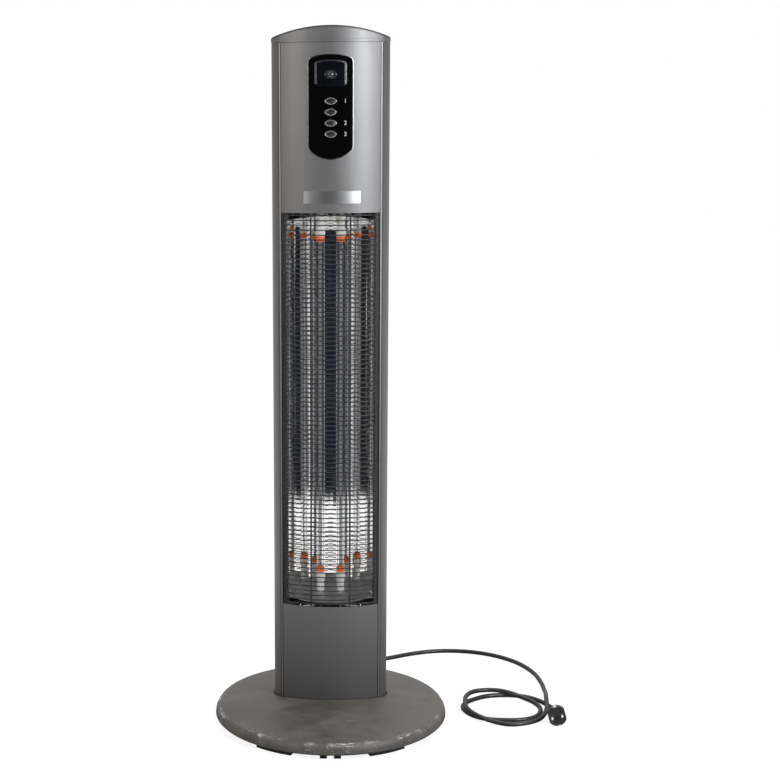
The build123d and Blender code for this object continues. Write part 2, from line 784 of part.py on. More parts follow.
# Control fascia: a gloss plate that laps over the panel round its cut-out, with a
# recess for the display and an eye-shaped hole for each button's ring
button_levels = [button_top_z - button_pitch * row for row in range(len(button_names))]
fascia_limits = (fascia_bottom_z - 10, fascia_top_z + 10)
fascia_strip = fascia_width / 2 + 10
recess_floor = display_recess - fascia_proud
with BuildPart() as control_fascia:
    add(shaped_from_front(front_wall(-fascia_proud, -seat_gap, -fascia_strip, fascia_strip),
                          fascia_outline(), *fascia_limits))
    add(shaped_from_front(front_wall(-0.5, fascia_wall - fascia_proud, -fascia_strip, fascia_strip),
                          fascia_outline(-fascia_lap - running_gap), *fascia_limits))
    add(shaped_from_front(front_wall(-fascia_proud - 2, recess_floor, -fascia_strip, fascia_strip),
                          display_outline(), *fascia_limits), mode=Mode.SUBTRACT)
    with BuildSketch(front_plane(0)):
        for level in button_levels:
            add(Pos(0, level) * eye(ring_half_width + seat_gap, ring_half_height + seat_gap))
    extrude(amount=tower_half_depth * 2, mode=Mode.SUBTRACT)
write(control_fascia.part, "control_fascia")

with BuildSketch() as bevel_frame:
    add(fascia_outline(bevel_width))
    add(fascia_outline(seat_gap), mode=Mode.SUBTRACT)
with BuildPart() as fascia_bevel:
    add(shaped_from_front(front_wall(-bevel_proud, -seat_gap, -fascia_strip, fascia_strip),
                          bevel_frame.sketch, *fascia_limits))
write(fascia_bevel.part, "fascia_bevel")

# Display: dark window between two wide side strips and a narrow arch of bright trim
display_inner = display_width / 2 - display_side_trim
trim_bottom_z = display_bottom_z + display_corner
display_back = recess_floor - seat_gap
display_limits = (display_bottom_z - fascia_lap, display_top_z + fascia_lap)
with BuildSketch() as trim_frame:
    add(display_outline(-seat_gap))
    add(clipped(display_outline(-display_top_trim), -display_inner, display_inner,
                *display_limits), mode=Mode.SUBTRACT)
    with Locations((0, trim_bottom_z)):
        Rectangle(display_width, display_corner * 2, align=(Align.CENTER, Align.MAX), mode=Mode.SUBTRACT)
with BuildPart() as display_trim:
    add(shaped_from_front(front_wall(display_back - display_trim_wall, display_back,
                                     -fascia_strip, fascia_strip), trim_frame.sketch, *fascia_limits))
write(display_trim.part, "display_trim")

with BuildPart() as display_window:
    add(shaped_from_front(front_wall(display_back - display_wall, display_back, -fascia_strip, fascia_strip),
                          clipped(display_outline(-display_top_trim - seat_gap), seat_gap - display_inner,
                                  display_inner - seat_gap, *display_limits), *fascia_limits))
write(display_window.part, "display_window")

display_front_y = -(tower_half_depth - display_back + display_wall)
with BuildPart() as receiver_lens:
    with BuildSketch(front_plane(display_front_y, z=lens_z)):
        add(eye(lens_half_width, lens_half_height))
    extrude(amount=lens_height, taper=lens_taper)
write(receiver_lens.part, "receiver_lens")

# Buttons: a bright ring set through the fascia, a cap that slides in it and a flange
# and stem behind, which reach almost to the switch on the board
fascia_front_y = -(tower_half_depth + fascia_proud)
fascia_back_y = -surface_y(ring_half_width + ring_flange, fascia_wall - fascia_proud)
ring_back_y = fascia_back_y + running_gap + ring_flange_wall
cap_half_width = ring_half_width - ring_end_band - button_gap
cap_half_height = ring_half_height - ring_band - button_gap
with BuildPart() as button_rings:
    for level in button_levels:
        with BuildSketch(front_plane(fascia_front_y - ring_proud, z=level)):
            add(eye(ring_half_width, ring_half_height))
            add(eye(cap_half_width + button_gap, cap_half_height + button_gap), mode=Mode.SUBTRACT)
        extrude(amount=fascia_front_y - ring_proud - ring_back_y)
        with BuildSketch(front_plane(ring_back_y - ring_flange_wall, z=level)):
            add(eye(ring_half_width + ring_flange, ring_half_height + ring_flange / 2))
            add(eye(cap_half_width + button_gap, cap_half_height + button_gap), mode=Mode.SUBTRACT)
        extrude(amount=-ring_flange_wall)
write(button_rings.part, "button_rings")

flange_front_y = ring_back_y + running_gap
flange_back_y = flange_front_y + button_flange_wall
stem_end_y = board_front_y - switch_height - button_travel - running_gap
for name, level in zip(button_names, button_levels):
    with BuildPart() as button:
        with BuildSketch(front_plane(flange_back_y, z=level)):
            add(eye(cap_half_width, cap_half_height))
        extrude(amount=flange_back_y - (fascia_front_y - button_proud))
        with BuildSketch(front_plane(fascia_front_y - button_proud, z=level)):
            add(eye(cap_half_width, cap_half_height))
        extrude(amount=button_crown, taper=button_crown_taper)
        with BuildSketch(front_plane(flange_back_y, z=level)):
            add(eye(cap_half_width + button_flange, cap_half_height + button_flange / 2))
        extrude(amount=button_flange_wall)
        with BuildSketch(front_plane(flange_back_y, z=level)):
            Circle(button_stem_radius)
        extrude(amount=flange_back_y - stem_end_y)
    write(button.part, name)

# Control board behind the fascia, on four posts, with a switch behind each button
board_middle_z = (board_bottom_z + board_top_z) / 2
with BuildPart() as control_board:
    with BuildSketch(front_plane(board_front_y, z=board_middle_z)):
        Rectangle(board_half_width * 2, board_top_z - board_bottom_z)
    extrude(amount=-board_wall)
write(control_board.part, "control_board")

with BuildPart() as board_posts:
    with BuildSketch(front_plane(board_front_y, z=board_middle_z)):
        with GridLocations(post_x * 2, board_top_z - board_bottom_z - 2 * post_margin, 2, 2):
            Circle(post_radius)
    extrude(amount=surface_y(post_x + post_radius, fascia_wall - fascia_proud) + board_front_y - seat_gap)
write(board_posts.part, "board_posts")

with BuildPart() as tact_switches:
    for level in button_levels:
        with BuildSketch(front_plane(board_front_y, z=level)):
            Rectangle(switch_size, switch_size)
        extrude(amount=switch_height - switch_plunger)
        with BuildSketch(front_plane(board_front_y, z=level)):
            Circle(switch_plunger_radius)
        extrude(amount=switch_height)
write(tact_switches.part, "tact_switches")

# Head: an arched collar that stands on the rails with a thin dark lid over it
collar_bottom_z = rail_top_z + collar_gap
head_half_width = tower_half_width + collar_proud + seat_gap


def arch(drop=0.0):
    """The head's outline from the front, lowered by a wall's thickness."""
    corner_z, apex_z = arch_corner_z - drop, arch_apex_z - drop
    foot_z = rail_top_z - 2 * plug_depth
    with BuildSketch() as outline:
        with BuildLine():
            ThreePointArc((-head_half_width, corner_z), (0, apex_z), (head_half_width, corner_z))
            Polyline((head_half_width, corner_z), (head_half_width, foot_z),
                     (-head_half_width, foot_z), (-head_half_width, corner_z))
        make_face()
        fillet(outline.vertices().group_by(Axis.Y)[-1], arch_corner_radius)
    return outline.sketch


def arched_block(inset, drop, from_z):
    """A block with the tower's outline from above and the arch's from the front."""
    with BuildPart() as block:
        with BuildSketch(Plane.XY.offset(from_z)):
            add(oval(inset))
        extrude(amount=arch_apex_z - from_z)
        with BuildSketch(front_plane(0)):
            add(arch(drop))
        extrude(amount=tower_half_depth * 2, both=True, mode=Mode.INTERSECT)
    return block.part


with BuildPart() as top_collar:
    add(arched_block(-collar_proud, lid_wall + seat_gap, collar_bottom_z))
    add(arched_block(collar_wall - collar_proud, lid_wall + seat_gap + collar_wall, collar_bottom_z),
        mode=Mode.SUBTRACT)
    with BuildSketch(Plane.XY.offset(rail_top_z + running_gap)):
        add(wall(1, plug_inset + plug_wall))
    extrude(amount=collar_shoulder)
    with BuildSketch(Plane.XY.offset(rail_top_z + running_gap + collar_shoulder)):
        add(clipped(wall(plug_inset, plug_inset + plug_wall), -plug_half_width, plug_half_width))
    extrude(amount=-plug_depth - collar_shoulder)
    with BuildSketch(Plane.XY.offset(collar_bottom_z + collar_line_z)):
        add(wall(-collar_proud - 1, collar_line_depth - collar_proud))
    extrude(amount=collar_line_width, mode=Mode.SUBTRACT)
write(top_collar.part, "top_collar")

with BuildPart() as top_lid:
    add(arched_block(-collar_proud, 0, collar_bottom_z))
    with BuildSketch(front_plane(0)):
        add(arch(lid_wall))
    extrude(amount=tower_half_depth * 2, both=True, mode=Mode.SUBTRACT)
    top_faces = top_lid.faces().sort_by(Axis.Z)[-1:]
    fillet(top_faces[0].edges().filter_by(lambda edge: abs(edge.center().Y) > 1), lid_round)
write(top_lid.part, "top_lid")

# Base: a domed shell with a socket for the tower, closed by a steel plate that carries
# the ballast, on rubber pads
crown_drop = base_crown_z - base_shoulder_z
crown_radius = (base_shoulder_radius ** 2 + crown_drop ** 2) / (2 * crown_drop)


def base_section(inset, bottom_z):
    """Half of the base's section: rim, rounded shoulder and shallow crown."""
    shoulder = (base_shoulder_radius - inset / 3, base_shoulder_z - inset)
    half_way = base_shoulder_radius / 2
    half_way_z = base_crown_z - crown_radius + sqrt(crown_radius ** 2 - half_way ** 2) - inset
    rim = base_radius - inset
    with BuildSketch() as section:
        with BuildLine():
            Polyline((0, base_crown_z - inset), (0, bottom_z), (rim - rim_chamfer, bottom_z),
                     (rim, bottom_z + rim_chamfer), (rim, rim_top_z))
            TangentArc((rim, rim_top_z), shoulder, tangent=(0, 1))
            ThreePointArc(shoulder, (half_way, half_way_z), (0, base_crown_z - inset))
        make_face()
    return section.sketch


def turned(section):
    """A solid of revolution about the vertical axis."""
    with BuildPart() as solid:
        with BuildSketch(Plane.XZ):
            add(section)
        revolve(axis=Axis.Z)
    return solid.part


base_screw_places = [(base_screw_circle * sin(radians(a)), base_screw_circle * cos(radians(a)))
                     for a in base_screw_angles]
bolt_places = [(x, y) for x in (-bolt_x, bolt_x) for y in (-bolt_y, bolt_y)]
with BuildPart() as base_hollow:
    add(turned(base_section(base_wall, base_bottom_z)))
    with BuildSketch(Plane.XY.offset(socket_floor_z - socket_floor)):
        add(oval(-socket_gap - socket_wall))
    extrude(amount=base_crown_z, mode=Mode.SUBTRACT)
    with BuildSketch(Plane.XY.offset(base_bottom_z + base_plate_wall)):
        with Locations(*base_screw_places):
            Circle(base_screw_boss_radius)
    extrude(amount=base_crown_z, mode=Mode.SUBTRACT)
with BuildPart() as base_shell:
    add(turned(base_section(0, base_bottom_z)))
    add(base_hollow.part, mode=Mode.SUBTRACT)
    with BuildSketch(Plane.XY.offset(socket_floor_z)):
        add(oval(-socket_gap))
    extrude(amount=base_crown_z, mode=Mode.SUBTRACT)
    with BuildSketch(Plane.XY.offset(socket_floor_z - socket_floor)):
        with Locations(*bolt_places):
            Circle(bolt_radius + running_gap)
    extrude(amount=socket_floor, mode=Mode.SUBTRACT)
    with BuildSketch(Plane.XY.offset(base_bottom_z)):
        with Locations(*base_screw_places):
            Circle(base_screw_radius + seat_gap)
    extrude(amount=base_screw_length + 1, mode=Mode.SUBTRACT)
write(base_shell.part, "base_shell")

with BuildPart() as socket_gasket:
    with BuildSketch(Plane.XY.offset(socket_floor_z + seat_gap)):
        add(wall(-socket_gap + running_gap, -running_gap))
    extrude(amount=gasket_height)
write(socket_gasket.part, "socket_gasket")

with BuildPart() as base_plate:
    with BuildSketch(Plane.XY.offset(base_bottom_z)):
        Circle(base_radius - base_wall - rim_chamfer - base_plate_gap)
        with Locations(*base_screw_places):
            Circle(base_screw_radius + running_gap, mode=Mode.SUBTRACT)
    extrude(amount=base_plate_wall)
write(base_plate.part, "base_plate")

with BuildPart() as base_ballast:
    with BuildSketch(Plane.XY.offset(base_bottom_z + base_plate_wall)):
        Circle(ballast_radius)
    extrude(amount=ballast_height)
write(base_ballast.part, "base_ballast")

with BuildPart() as base_screws:
    with BuildSketch(Plane.XY.offset(base_bottom_z)):
        with Locations(*base_screw_places):
            Circle(base_screw_radius)
    extrude(amount=base_screw_length)
    with BuildSketch(Plane.XY.offset(base_bottom_z)):
        with Locations(*base_screw_places):
            Circle(base_screw_head_radius)
    extrude(amount=-base_screw_head)
write(base_screws.part, "base_screws")

with BuildPart() as base_bolts:
    with BuildSketch(Plane.XY.offset(socket_floor_z - socket_floor)):
        with Locations(*bolt_places):
            Circle(bolt_radius)
    extrude(amount=socket_floor + foot_flange + foot_height - 2)
    with BuildSketch(Plane.XY.offset(socket_floor_z - socket_floor)):
        with Locations(*bolt_places):
            RegularPolygon(bolt_head_radius, 6)
    extrude(amount=-bolt_head_height)
write(base_bolts.part, "base_bolts")

with BuildPart() as tower_foot:
    with BuildSketch(Plane.XY.offset(socket_floor_z)):
        add(oval())
    extrude(amount=rail_bottom_z - socket_floor_z)
    with BuildSketch(Plane.XY.offset(rail_bottom_z)):
        add(clipped(wall(plug_inset, plug_inset + plug_wall), -plug_half_width, plug_half_width))
        with Locations(*bolt_places):
            Circle(bolt_boss_radius)
    extrude(amount=foot_height)
    with BuildSketch(Plane.XY.offset(socket_floor_z)):
        with Locations(*bolt_places):
            Circle(bolt_radius + seat_gap)
    extrude(amount=foot_height + foot_flange, mode=Mode.SUBTRACT)
write(tower_foot.part, "tower_foot")


def pad_outline(middle, span):
    """An arc-shaped pad, centred on an angle from the rear round to the right."""
    corners = [(radius, middle + way * span / 2) for radius, way in
               ((pad_outer_radius, -1), (pad_outer_radius, 0), (pad_outer_radius, 1),
                (pad_inner_radius, 1), (pad_inner_radius, 0), (pad_inner_radius, -1))]
    a, b, c, d, e, f = [(r * sin(radians(t)), r * cos(radians(t))) for r, t in corners]
    with BuildSketch() as outline:
        with BuildLine():
            ThreePointArc(a, b, c)
            Line(c, d)
            ThreePointArc(d, e, f)
            Line(f, a)
        make_face()
    return outline.sketch


with BuildPart() as base_pads:
    with BuildSketch():
        for end in (0, 180):
            for side in (-1, 1):
                add(pad_outline(end + side * pad_angle, pad_span))
                add(pad_outline(end + side * small_pad_angle, small_pad_span))
    extrude(amount=base_bottom_z)
write(base_pads.part, "base_pads")

# Gland that the mains lead leaves by, with a tapered nose, and its nut inside
with BuildSketch() as gland_section:
    with BuildLine():
        flange_start = gland_neck_length + seat_gap
        flange_end = flange_start + gland_flange
        Polyline((0, 0), (gland_neck_radius, 0), (gland_neck_radius, flange_start),
                 (gland_flange_radius, flange_start), (gland_flange_radius, flange_end),
                 (gland_nose_radius, flange_end), (gland_tip_radius, flange_end + gland_length),
                 (0, flange_end + gland_length), close=True)
    make_face()
gland_frame = Plane(origin=(0, gland_inner_y, gland_z), x_dir=(1, 0, 0), z_dir=(0, 1, 0))
with BuildPart() as cable_gland:
    add(turned(gland_section.sketch).moved(gland_frame.location))
write(cable_gland.part, "cable_gland")

with BuildPart() as gland_nut:
    with BuildSketch(Plane(origin=(0, gland_inner_y + gland_nut_stand, gland_z), x_dir=(1, 0, 0),
                           z_dir=(0, 1, 0))):
        RegularPolygon(gland_nut_radius, 6)
        Circle(gland_neck_radius + seat_gap, mode=Mode.SUBTRACT)
    extrude(amount=gland_nut_width)
write(gland_nut.part, "gland_nut")

# Mains lead: straight out of the gland, down past the base's rim and along the floor
floor_z = cord_radius + floor_lift
gland_tip_y = gland_inner_y + flange_end + gland_length
cord_route = [(0, gland_tip_y, gland_z), (0, 117, gland_z), (1, 150, 85), (4, 186, 73), (10, 221, 54),
              (20, 252, 32), (34, 279, 13), (56, 302, floor_z), (88, 318, floor_z), (125, 333, floor_z),
              (171, 362, floor_z), (222, 382, floor_z), (271, 385, floor_z), (318, 375, floor_z),
              (362, 350, floor_z), (401, 307, floor_z), (426, 247, floor_z), (433.5, 187, floor_z),
              (433.5, 148, floor_z)]


def bend_radii(route):
    """For each inner point of a route, the largest easy arc that its two runs allow."""
    points = [Vector(*point) for point in route]
    radii = []
    for before, here, after in zip(points, points[1:], points[2:]):
        half_turn = radians((here - before).get_angle(after - here)) / 2
        radii.append(0.45 * min((here - before).length, (after - here).length) / tan(half_turn))
    return radii


def tube_along(line, radius):
    """A round tube along a line, its ends square to it."""
    with BuildPart() as tube:
        with BuildSketch(Plane(origin=line @ 0, z_dir=line % 0)):
            Circle(radius)
        sweep(path=line)
    section = pi * radius ** 2
    print("tube volume / (section x length):", round(tube.part.volume / (section * line.length), 4),
          "length:", round(line.length, 1), "smallest z:", round(tube.part.bounding_box().min.Z, 2))
    return tube.part


cord_radii = bend_radii(cord_route)
print("cord radii:", [round(radius) for radius in cord_radii])
with BuildLine() as cord_line:
    FilletPolyline(*cord_route, radius=cord_radii)
with BuildPart() as power_cord:
    add(tube_along(cord_line.wires()[0], cord_radius))
write(power_cord.part, "power_cord")

# Loose coil: two turns, clockwise from above. Each eighth of a turn has its own reach
# from the middle and its own lift off the floor, so that the first turn passes over
# the second one and the incoming lead passes over the outgoing one.
plug_slope = radians(plug_tilt)
plug_way = radians(plug_axis_angle)
plug_barrel = 0.4 * plug_body_length
plug_face_z = floor_lift + plug_radius * cos(plug_slope) + plug_barrel * sin(plug_slope)
plug_frame = Plane(origin=(*plug_face, plug_face_z), x_dir=(0, 0, 1),
                   z_dir=(cos(plug_way) * cos(plug_slope), sin(plug_way) * cos(plug_slope), -sin(plug_slope)))
plug_tail_end = plug_frame.origin + plug_frame.z_dir * (plug_body_length + plug_tail_length)
straight_end = 2 * cord_radius


def coil_knots():
    """The coil's points and headings, from the lead's end to the plug's tail."""
    start = Vector(*cord_route[-1])
    start_way = (start - Vector(*cord_route[-2])).normalized()
    end_way = plug_frame.z_dir * -1
    points = [start + start_way * straight_end, Vector(*coil_first_crossing, floor_z + coil_first_lift)]
    for step, (reach, lift) in enumerate(zip(coil_reach, coil_lift), start=1):
        angle = radians(-360 / coil_steps * step)
        points.append(Vector(coil_middle[0] + reach * cos(angle), coil_middle[1] + reach * sin(angle),
                             floor_z + lift))
    points += [Vector(*coil_last_crossing, floor_z), plug_tail_end - end_way * straight_end]
    headings = [start_way]
    for before, here, after in zip(points, points[1:], points[2:]):
        way = after - before
        if here.Z <= floor_z or here.Z > floor_z + coil_over_lift:
            way = Vector(way.X, way.Y, 0)
        headings.append(way.normalized())
    return points, headings + [end_way]


def biarc(start, start_way, end, end_way):
    """Two arcs that leave a point and reach the next one in given directions."""
    across = end - start
    both_ways = start_way + end_way
    share = 4 - both_ways.dot(both_ways)
    lean = across.dot(both_ways)
    reach = (sqrt(lean ** 2 + share * across.dot(across)) - lean) / share
    first_corner = start + start_way * reach
    last_corner = end - end_way * reach
    middle = (first_corner + last_corner) * 0.5
    TangentArc(start, middle, tangent=start_way)
    TangentArc(middle, end, tangent=last_corner - first_corner)


points, headings = coil_knots()
with BuildLine() as coil_line:
    Line(Vector(*cord_route[-1]), points[0])
    for i in range(len(points) - 1):
        biarc(points[i], headings[i], points[i + 1], headings[i + 1])
    Line(points[-1], plug_tail_end)
coil_path = coil_line.wires()[0]
with BuildPart() as cord_coil:
    add(tube_along(coil_path, cord_radius))
write(cord_coil.part, "cord_coil")

# The coil's least gap to itself, between points more than a few diameters apart
sample_count = int(coil_path.length / 3)
samples = [coil_path @ (i / sample_count) for i in range(sample_count + 1)]
skip = int(6 * cord_radius / 3) + 1
least_gap = min((samples[i] - samples[j]).length - 2 * cord_radius
                for i in range(len(samples)) for j in range(i + skip, len(samples)))
print("coil's least gap to itself:", round(least_gap, 2))

# Plug: a round moulded body whose tail tapers to the lead, and two round pins
with BuildSketch() as plug_section:
    with BuildLine():
        Polyline((0, plug_body_length + plug_tail_length), (0, 0), (plug_radius - 1, 0), (plug_radius, 1),
                 (plug_radius, plug_barrel))
        ThreePointArc((plug_radius, plug_barrel), (plug_radius * 0.87, plug_body_length * 0.78),
                      (plug_radius * 0.5, plug_body_length))
        Polyline((plug_radius * 0.5, plug_body_length),
                 (plug_tail_radius, plug_body_length + plug_tail_length),
                 (0, plug_body_length + plug_tail_length))
    make_face()
with BuildPart() as plug_body:
    add(turned(plug_section.sketch).moved(plug_frame.location))
    with BuildSketch(plug_frame):
        Rectangle(2 * plug_radius, 2 * plug_half_flat, rotation=-plug_roll)
    extrude(amount=plug_body_length + plug_tail_length, mode=Mode.INTERSECT)
write(plug_body.part, "plug_body")

pin_way = (sin(radians(plug_roll)), cos(radians(plug_roll)))
pin_places = [(reach * pin_way[0], reach * pin_way[1]) for reach in (-pin_spacing / 2, pin_spacing / 2)]
with BuildPart() as plug_pins:
    with BuildSketch(plug_frame):
        with Locations(*pin_places):
            Circle(pin_radius)
    extrude(amount=-pin_length)
write(plug_pins.part, "plug_pins")
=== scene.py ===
"""The look of an infrared patio heater tower, dressed piece by piece from the floor up."""
from math import asin, cos, pi, radians, sin, sqrt

import bmesh
import bpy
from mathutils import Matrix, Vector


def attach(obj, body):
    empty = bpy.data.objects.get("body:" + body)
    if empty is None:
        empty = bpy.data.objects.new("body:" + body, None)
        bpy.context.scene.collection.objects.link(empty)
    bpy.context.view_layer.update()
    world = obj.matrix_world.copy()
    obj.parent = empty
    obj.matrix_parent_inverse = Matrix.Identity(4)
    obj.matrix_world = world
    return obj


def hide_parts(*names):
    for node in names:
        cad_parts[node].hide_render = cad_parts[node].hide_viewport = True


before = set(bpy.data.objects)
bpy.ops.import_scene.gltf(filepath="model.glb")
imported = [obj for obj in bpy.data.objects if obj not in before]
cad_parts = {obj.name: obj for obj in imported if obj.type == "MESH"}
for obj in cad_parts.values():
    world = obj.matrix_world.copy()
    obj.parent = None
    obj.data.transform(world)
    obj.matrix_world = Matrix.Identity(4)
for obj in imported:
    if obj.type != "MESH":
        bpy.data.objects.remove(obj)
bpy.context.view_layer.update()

# Studio: a floor that the camera sees as plain white, soft light, and a camera at chest
# height straight in front of the heater, turned a little to its left.
camera_distance, camera_height = 3.0414, 1.1804
camera_turn, camera_tilt, camera_roll = radians(2.26), radians(80.06), -0.0064
focal_pixels, picture_width, sideways_shift = 1637.6, 780, 0.1578
camera = bpy.data.objects.new("camera", bpy.data.cameras.new("camera"))
camera.matrix_world = (Matrix.Translation((0, -camera_distance, camera_height))
                       @ Matrix.Rotation(camera_turn, 4, "Z") @ Matrix.Rotation(camera_tilt, 4, "X")
                       @ Matrix.Rotation(camera_roll, 4, "Z"))
camera.data.sensor_fit = "HORIZONTAL"
camera.data.lens = focal_pixels * camera.data.sensor_width / picture_width
camera.data.shift_x = sideways_shift
bpy.context.scene.collection.objects.link(camera)
bpy.context.scene.camera = camera
bpy.context.scene.view_settings.view_transform = "Standard"


class Value:
    """What a node gives out. Arithmetic on it adds Math nodes."""

    def __init__(self, nodes, socket):
        self.nodes, self.socket = nodes, socket

    def math(self, operation, *values):
        return self.nodes.node("ShaderNodeMath", {"operation": operation}, dict(enumerate(values)))

    def __add__(self, other):
        return self.math("ADD", self, other)

    def __sub__(self, other):
        return self.math("SUBTRACT", self, other)

    def __rsub__(self, other):
        return self.math("SUBTRACT", other, self)

    def __mul__(self, other):
        return self.math("MULTIPLY", self, other)

    def __truediv__(self, other):
        return self.math("DIVIDE", self, other)

    def __pow__(self, other):
        return self.math("POWER", self, other)

    def __abs__(self):
        return self.math("ABSOLUTE", self)

    def sine(self):
        return self.math("SINE", self)

    __radd__ = __add__
    __rmul__ = __mul__


class Nodes:
    """A node tree that is filled one node at a time."""

    def __init__(self, tree):
        self.tree = tree

    def node(self, kind, settings=None, inputs=None, output=0):
        new = self.tree.nodes.new(kind)
        for name, value in (settings or {}).items():
            if name == "stops":
                for extra in range(len(value) - 2):
                    new.color_ramp.elements.new(0.5)
                for element, (place, colour) in zip(new.color_ramp.elements, value):
                    element.position, element.color = place, (*colour, 1)
            else:
                setattr(new, name, value)
        for name, value in (inputs or {}).items():
            if isinstance(value, Value):
                self.tree.links.new(value.socket, new.inputs[name])
            else:
                new.inputs[name].default_value = value
        return Value(self, new.outputs[output])

    def along(self, axis, space="Object"):
        """One coordinate: in Object space it is in metres."""
        coordinates = self.node("ShaderNodeTexCoord", output=space)
        return self.node("ShaderNodeSeparateXYZ", {}, {0: coordinates}, output=axis)

    def step(self, value, low, high):
        """0 below low, 1 above high and smooth between."""
        inputs = {"Value": value, "From Min": low, "From Max": high}
        return self.node("ShaderNodeMapRange", {"interpolation_type": "SMOOTHSTEP"}, inputs)


class Finish(Nodes):
    """One material: its constants sit on the shader, its variation comes from nodes."""

    def __init__(self, slot, base_color, **constants):
        self.slot = slot
        self.material = bpy.data.materials.new(slot)
        self.material.use_nodes = True
        self.material.diffuse_color = (*base_color, 1)
        super().__init__(self.material.node_tree)
        self.shader = self.tree.nodes["Principled BSDF"]
        self.base_color = base_color
        self.vary(base_color=(*base_color, 1), **constants)

    def vary(self, **sockets):
        for name, value in sockets.items():
            socket = self.shader.inputs[name.replace("_", " ").title().replace("Ior", "IOR")]
            if isinstance(value, Value):
                self.tree.links.new(value.socket, socket)
            else:
                socket.default_value = value

    def place(self, stretch=(1, 1, 1)):
        """Object coordinates, with a pattern's stretch along each axis."""
        coordinates = self.node("ShaderNodeTexCoord", output="Object")
        return self.node("ShaderNodeMapping", {}, {"Vector": coordinates, "Scale": stretch})

    def noise(self, size, stretch=(1, 1, 1), detail=3.0, roughness=0.5):
        """Noise from 0 to 1 whose blotches are about this size, in metres."""
        inputs = {"Vector": self.place(stretch), "Scale": 1 / size, "Detail": detail, "Roughness": roughness}
        return self.node("ShaderNodeTexNoise", {}, inputs)

    def mix(self, share, first, second, blend="MIX"):
        """A colour between two, each a colour of three numbers or a node's."""
        first, second = [c if isinstance(c, Value) else (*c, 1) for c in (first, second)]
        return self.node("ShaderNodeMix", {"data_type": "RGBA", "blend_type": blend},
                         {0: share, 6: first, 7: second}, output=2)

    def tone(self, share):
        """The base colour, lightened or darkened by a share round 1."""
        grey = self.node("ShaderNodeCombineColor", {}, {0: share, 1: share, 2: share})
        return self.mix(1.0, self.base_color, grey, "MULTIPLY")

    def bump(self, height, depth):
        """Relief of this depth in metres, where the height is 1."""
        relief = {"Strength": 1.0, "Distance": depth, "Height": height}
        self.vary(normal=self.node("ShaderNodeBump", {}, relief))


def sheet_on_floor(name, low, high, height, colour):
    """A flat rectangle of the studio, which isn't part of the heater."""
    mesh = bpy.data.meshes.new(name)
    mesh.from_pydata([(low[0], low[1], height), (high[0], low[1], height), (high[0], high[1], height),
                      (low[0], high[1], height)], [], [(0, 1, 2, 3)])
    rectangle = bpy.data.objects.new(name, mesh)
    bpy.context.scene.collection.objects.link(rectangle)
    mesh.materials.append(Finish(name, colour, roughness=0.9).material)
    return rectangle


studio_floor = sheet_on_floor("studio_floor", (-12, -12), (12, 12), 0, (0.2, 0.2, 0.2))
floor_finish = Nodes(studio_floor.data.materials[0].node_tree)
seen_direct = floor_finish.node("ShaderNodeLightPath", output="Is Camera Ray")
seen_in_metal = floor_finish.node("ShaderNodeLightPath", output="Is Glossy Ray")
floor_shader = floor_finish.tree.nodes["Principled BSDF"]
floor_shader.inputs["Emission Color"].default_value = (1, 1, 1, 1)
on_floor = floor_finish.node("ShaderNodeVectorMath", {"operation": "LENGTH"}, {
    0: floor_finish.node("ShaderNodeTexCoord", output="Object")}, output=1)
beyond_base = floor_finish.step(on_floor, 0.7, 0.95)
camera_white, mirrored_white, mirrored_grey = 0.86, 0.95, 0.12
floor_glow = seen_direct * camera_white + seen_in_metal * (beyond_base * mirrored_white + mirrored_grey)
floor_finish.tree.links.new(floor_glow.socket, floor_shader.inputs["Emission Strength"])

# Flags: what bright metal mirrors of the ground in front of the heater, from 1.7 m
# out. Only reflections show it, by the angle it lies at: dark straight ahead and to
# the sides, pale between.
flags = sheet_on_floor("flags", (-14, -14), (14, 0), 0.002, (0.0, 0.0, 0.0))
flags.visible_camera = flags.visible_shadow = flags.visible_diffuse = False
flag_nodes = Nodes(flags.data.materials[0].node_tree)
spot_x, spot_y = flag_nodes.along(0), flag_nodes.along(1)
sideways = spot_x.math("ARCTAN2", spot_x, 0.0 - spot_y)
tones = flag_nodes.node("ShaderNodeValToRGB", {"stops": [
    (0.0, (0.3, 0.3, 0.31)), (0.25, (0.2, 0.2, 0.2)), (0.30, (0.012, 0.020, 0.042)),
    (0.394, (0.013, 0.021, 0.043)), (0.406, (0.8, 0.8, 0.8)), (0.428, (0.7, 0.7, 0.7)),
    (0.438, (0.16, 0.17, 0.20)), (0.464, (0.012, 0.016, 0.028)), (0.530, (0.010, 0.011, 0.016)),
    (0.550, (0.14, 0.15, 0.17)), (0.572, (0.75, 0.75, 0.75)), (0.594, (0.85, 0.85, 0.85)),
    (0.608, (0.016, 0.024, 0.045)), (0.70, (0.012, 0.020, 0.040)), (0.74, (0.2, 0.2, 0.2)),
    (1.0, (0.3, 0.3, 0.31))]}, {0: sideways / pi + 0.5})
reach_out = (spot_x * spot_x + spot_y * spot_y) ** 0.5
waver = (sideways * 40.0).sine() * 0.07
far_side = flag_nodes.step(reach_out + waver, 1.66, 1.76)
glow = flag_nodes.node("ShaderNodeEmission", {}, {"Color": tones})
clear = flag_nodes.node("ShaderNodeBsdfTransparent")
shown = flag_nodes.node("ShaderNodeMixShader", {}, {0: far_side, 1: clear, 2: glow})
flag_nodes.tree.links.new(shown.socket, flag_nodes.tree.nodes["Material Output"].inputs["Surface"])

# Lights: a cool key light from the right, a weaker warm one from the left and a broad
# one above and behind, in a room that is pale beside, behind and overhead.


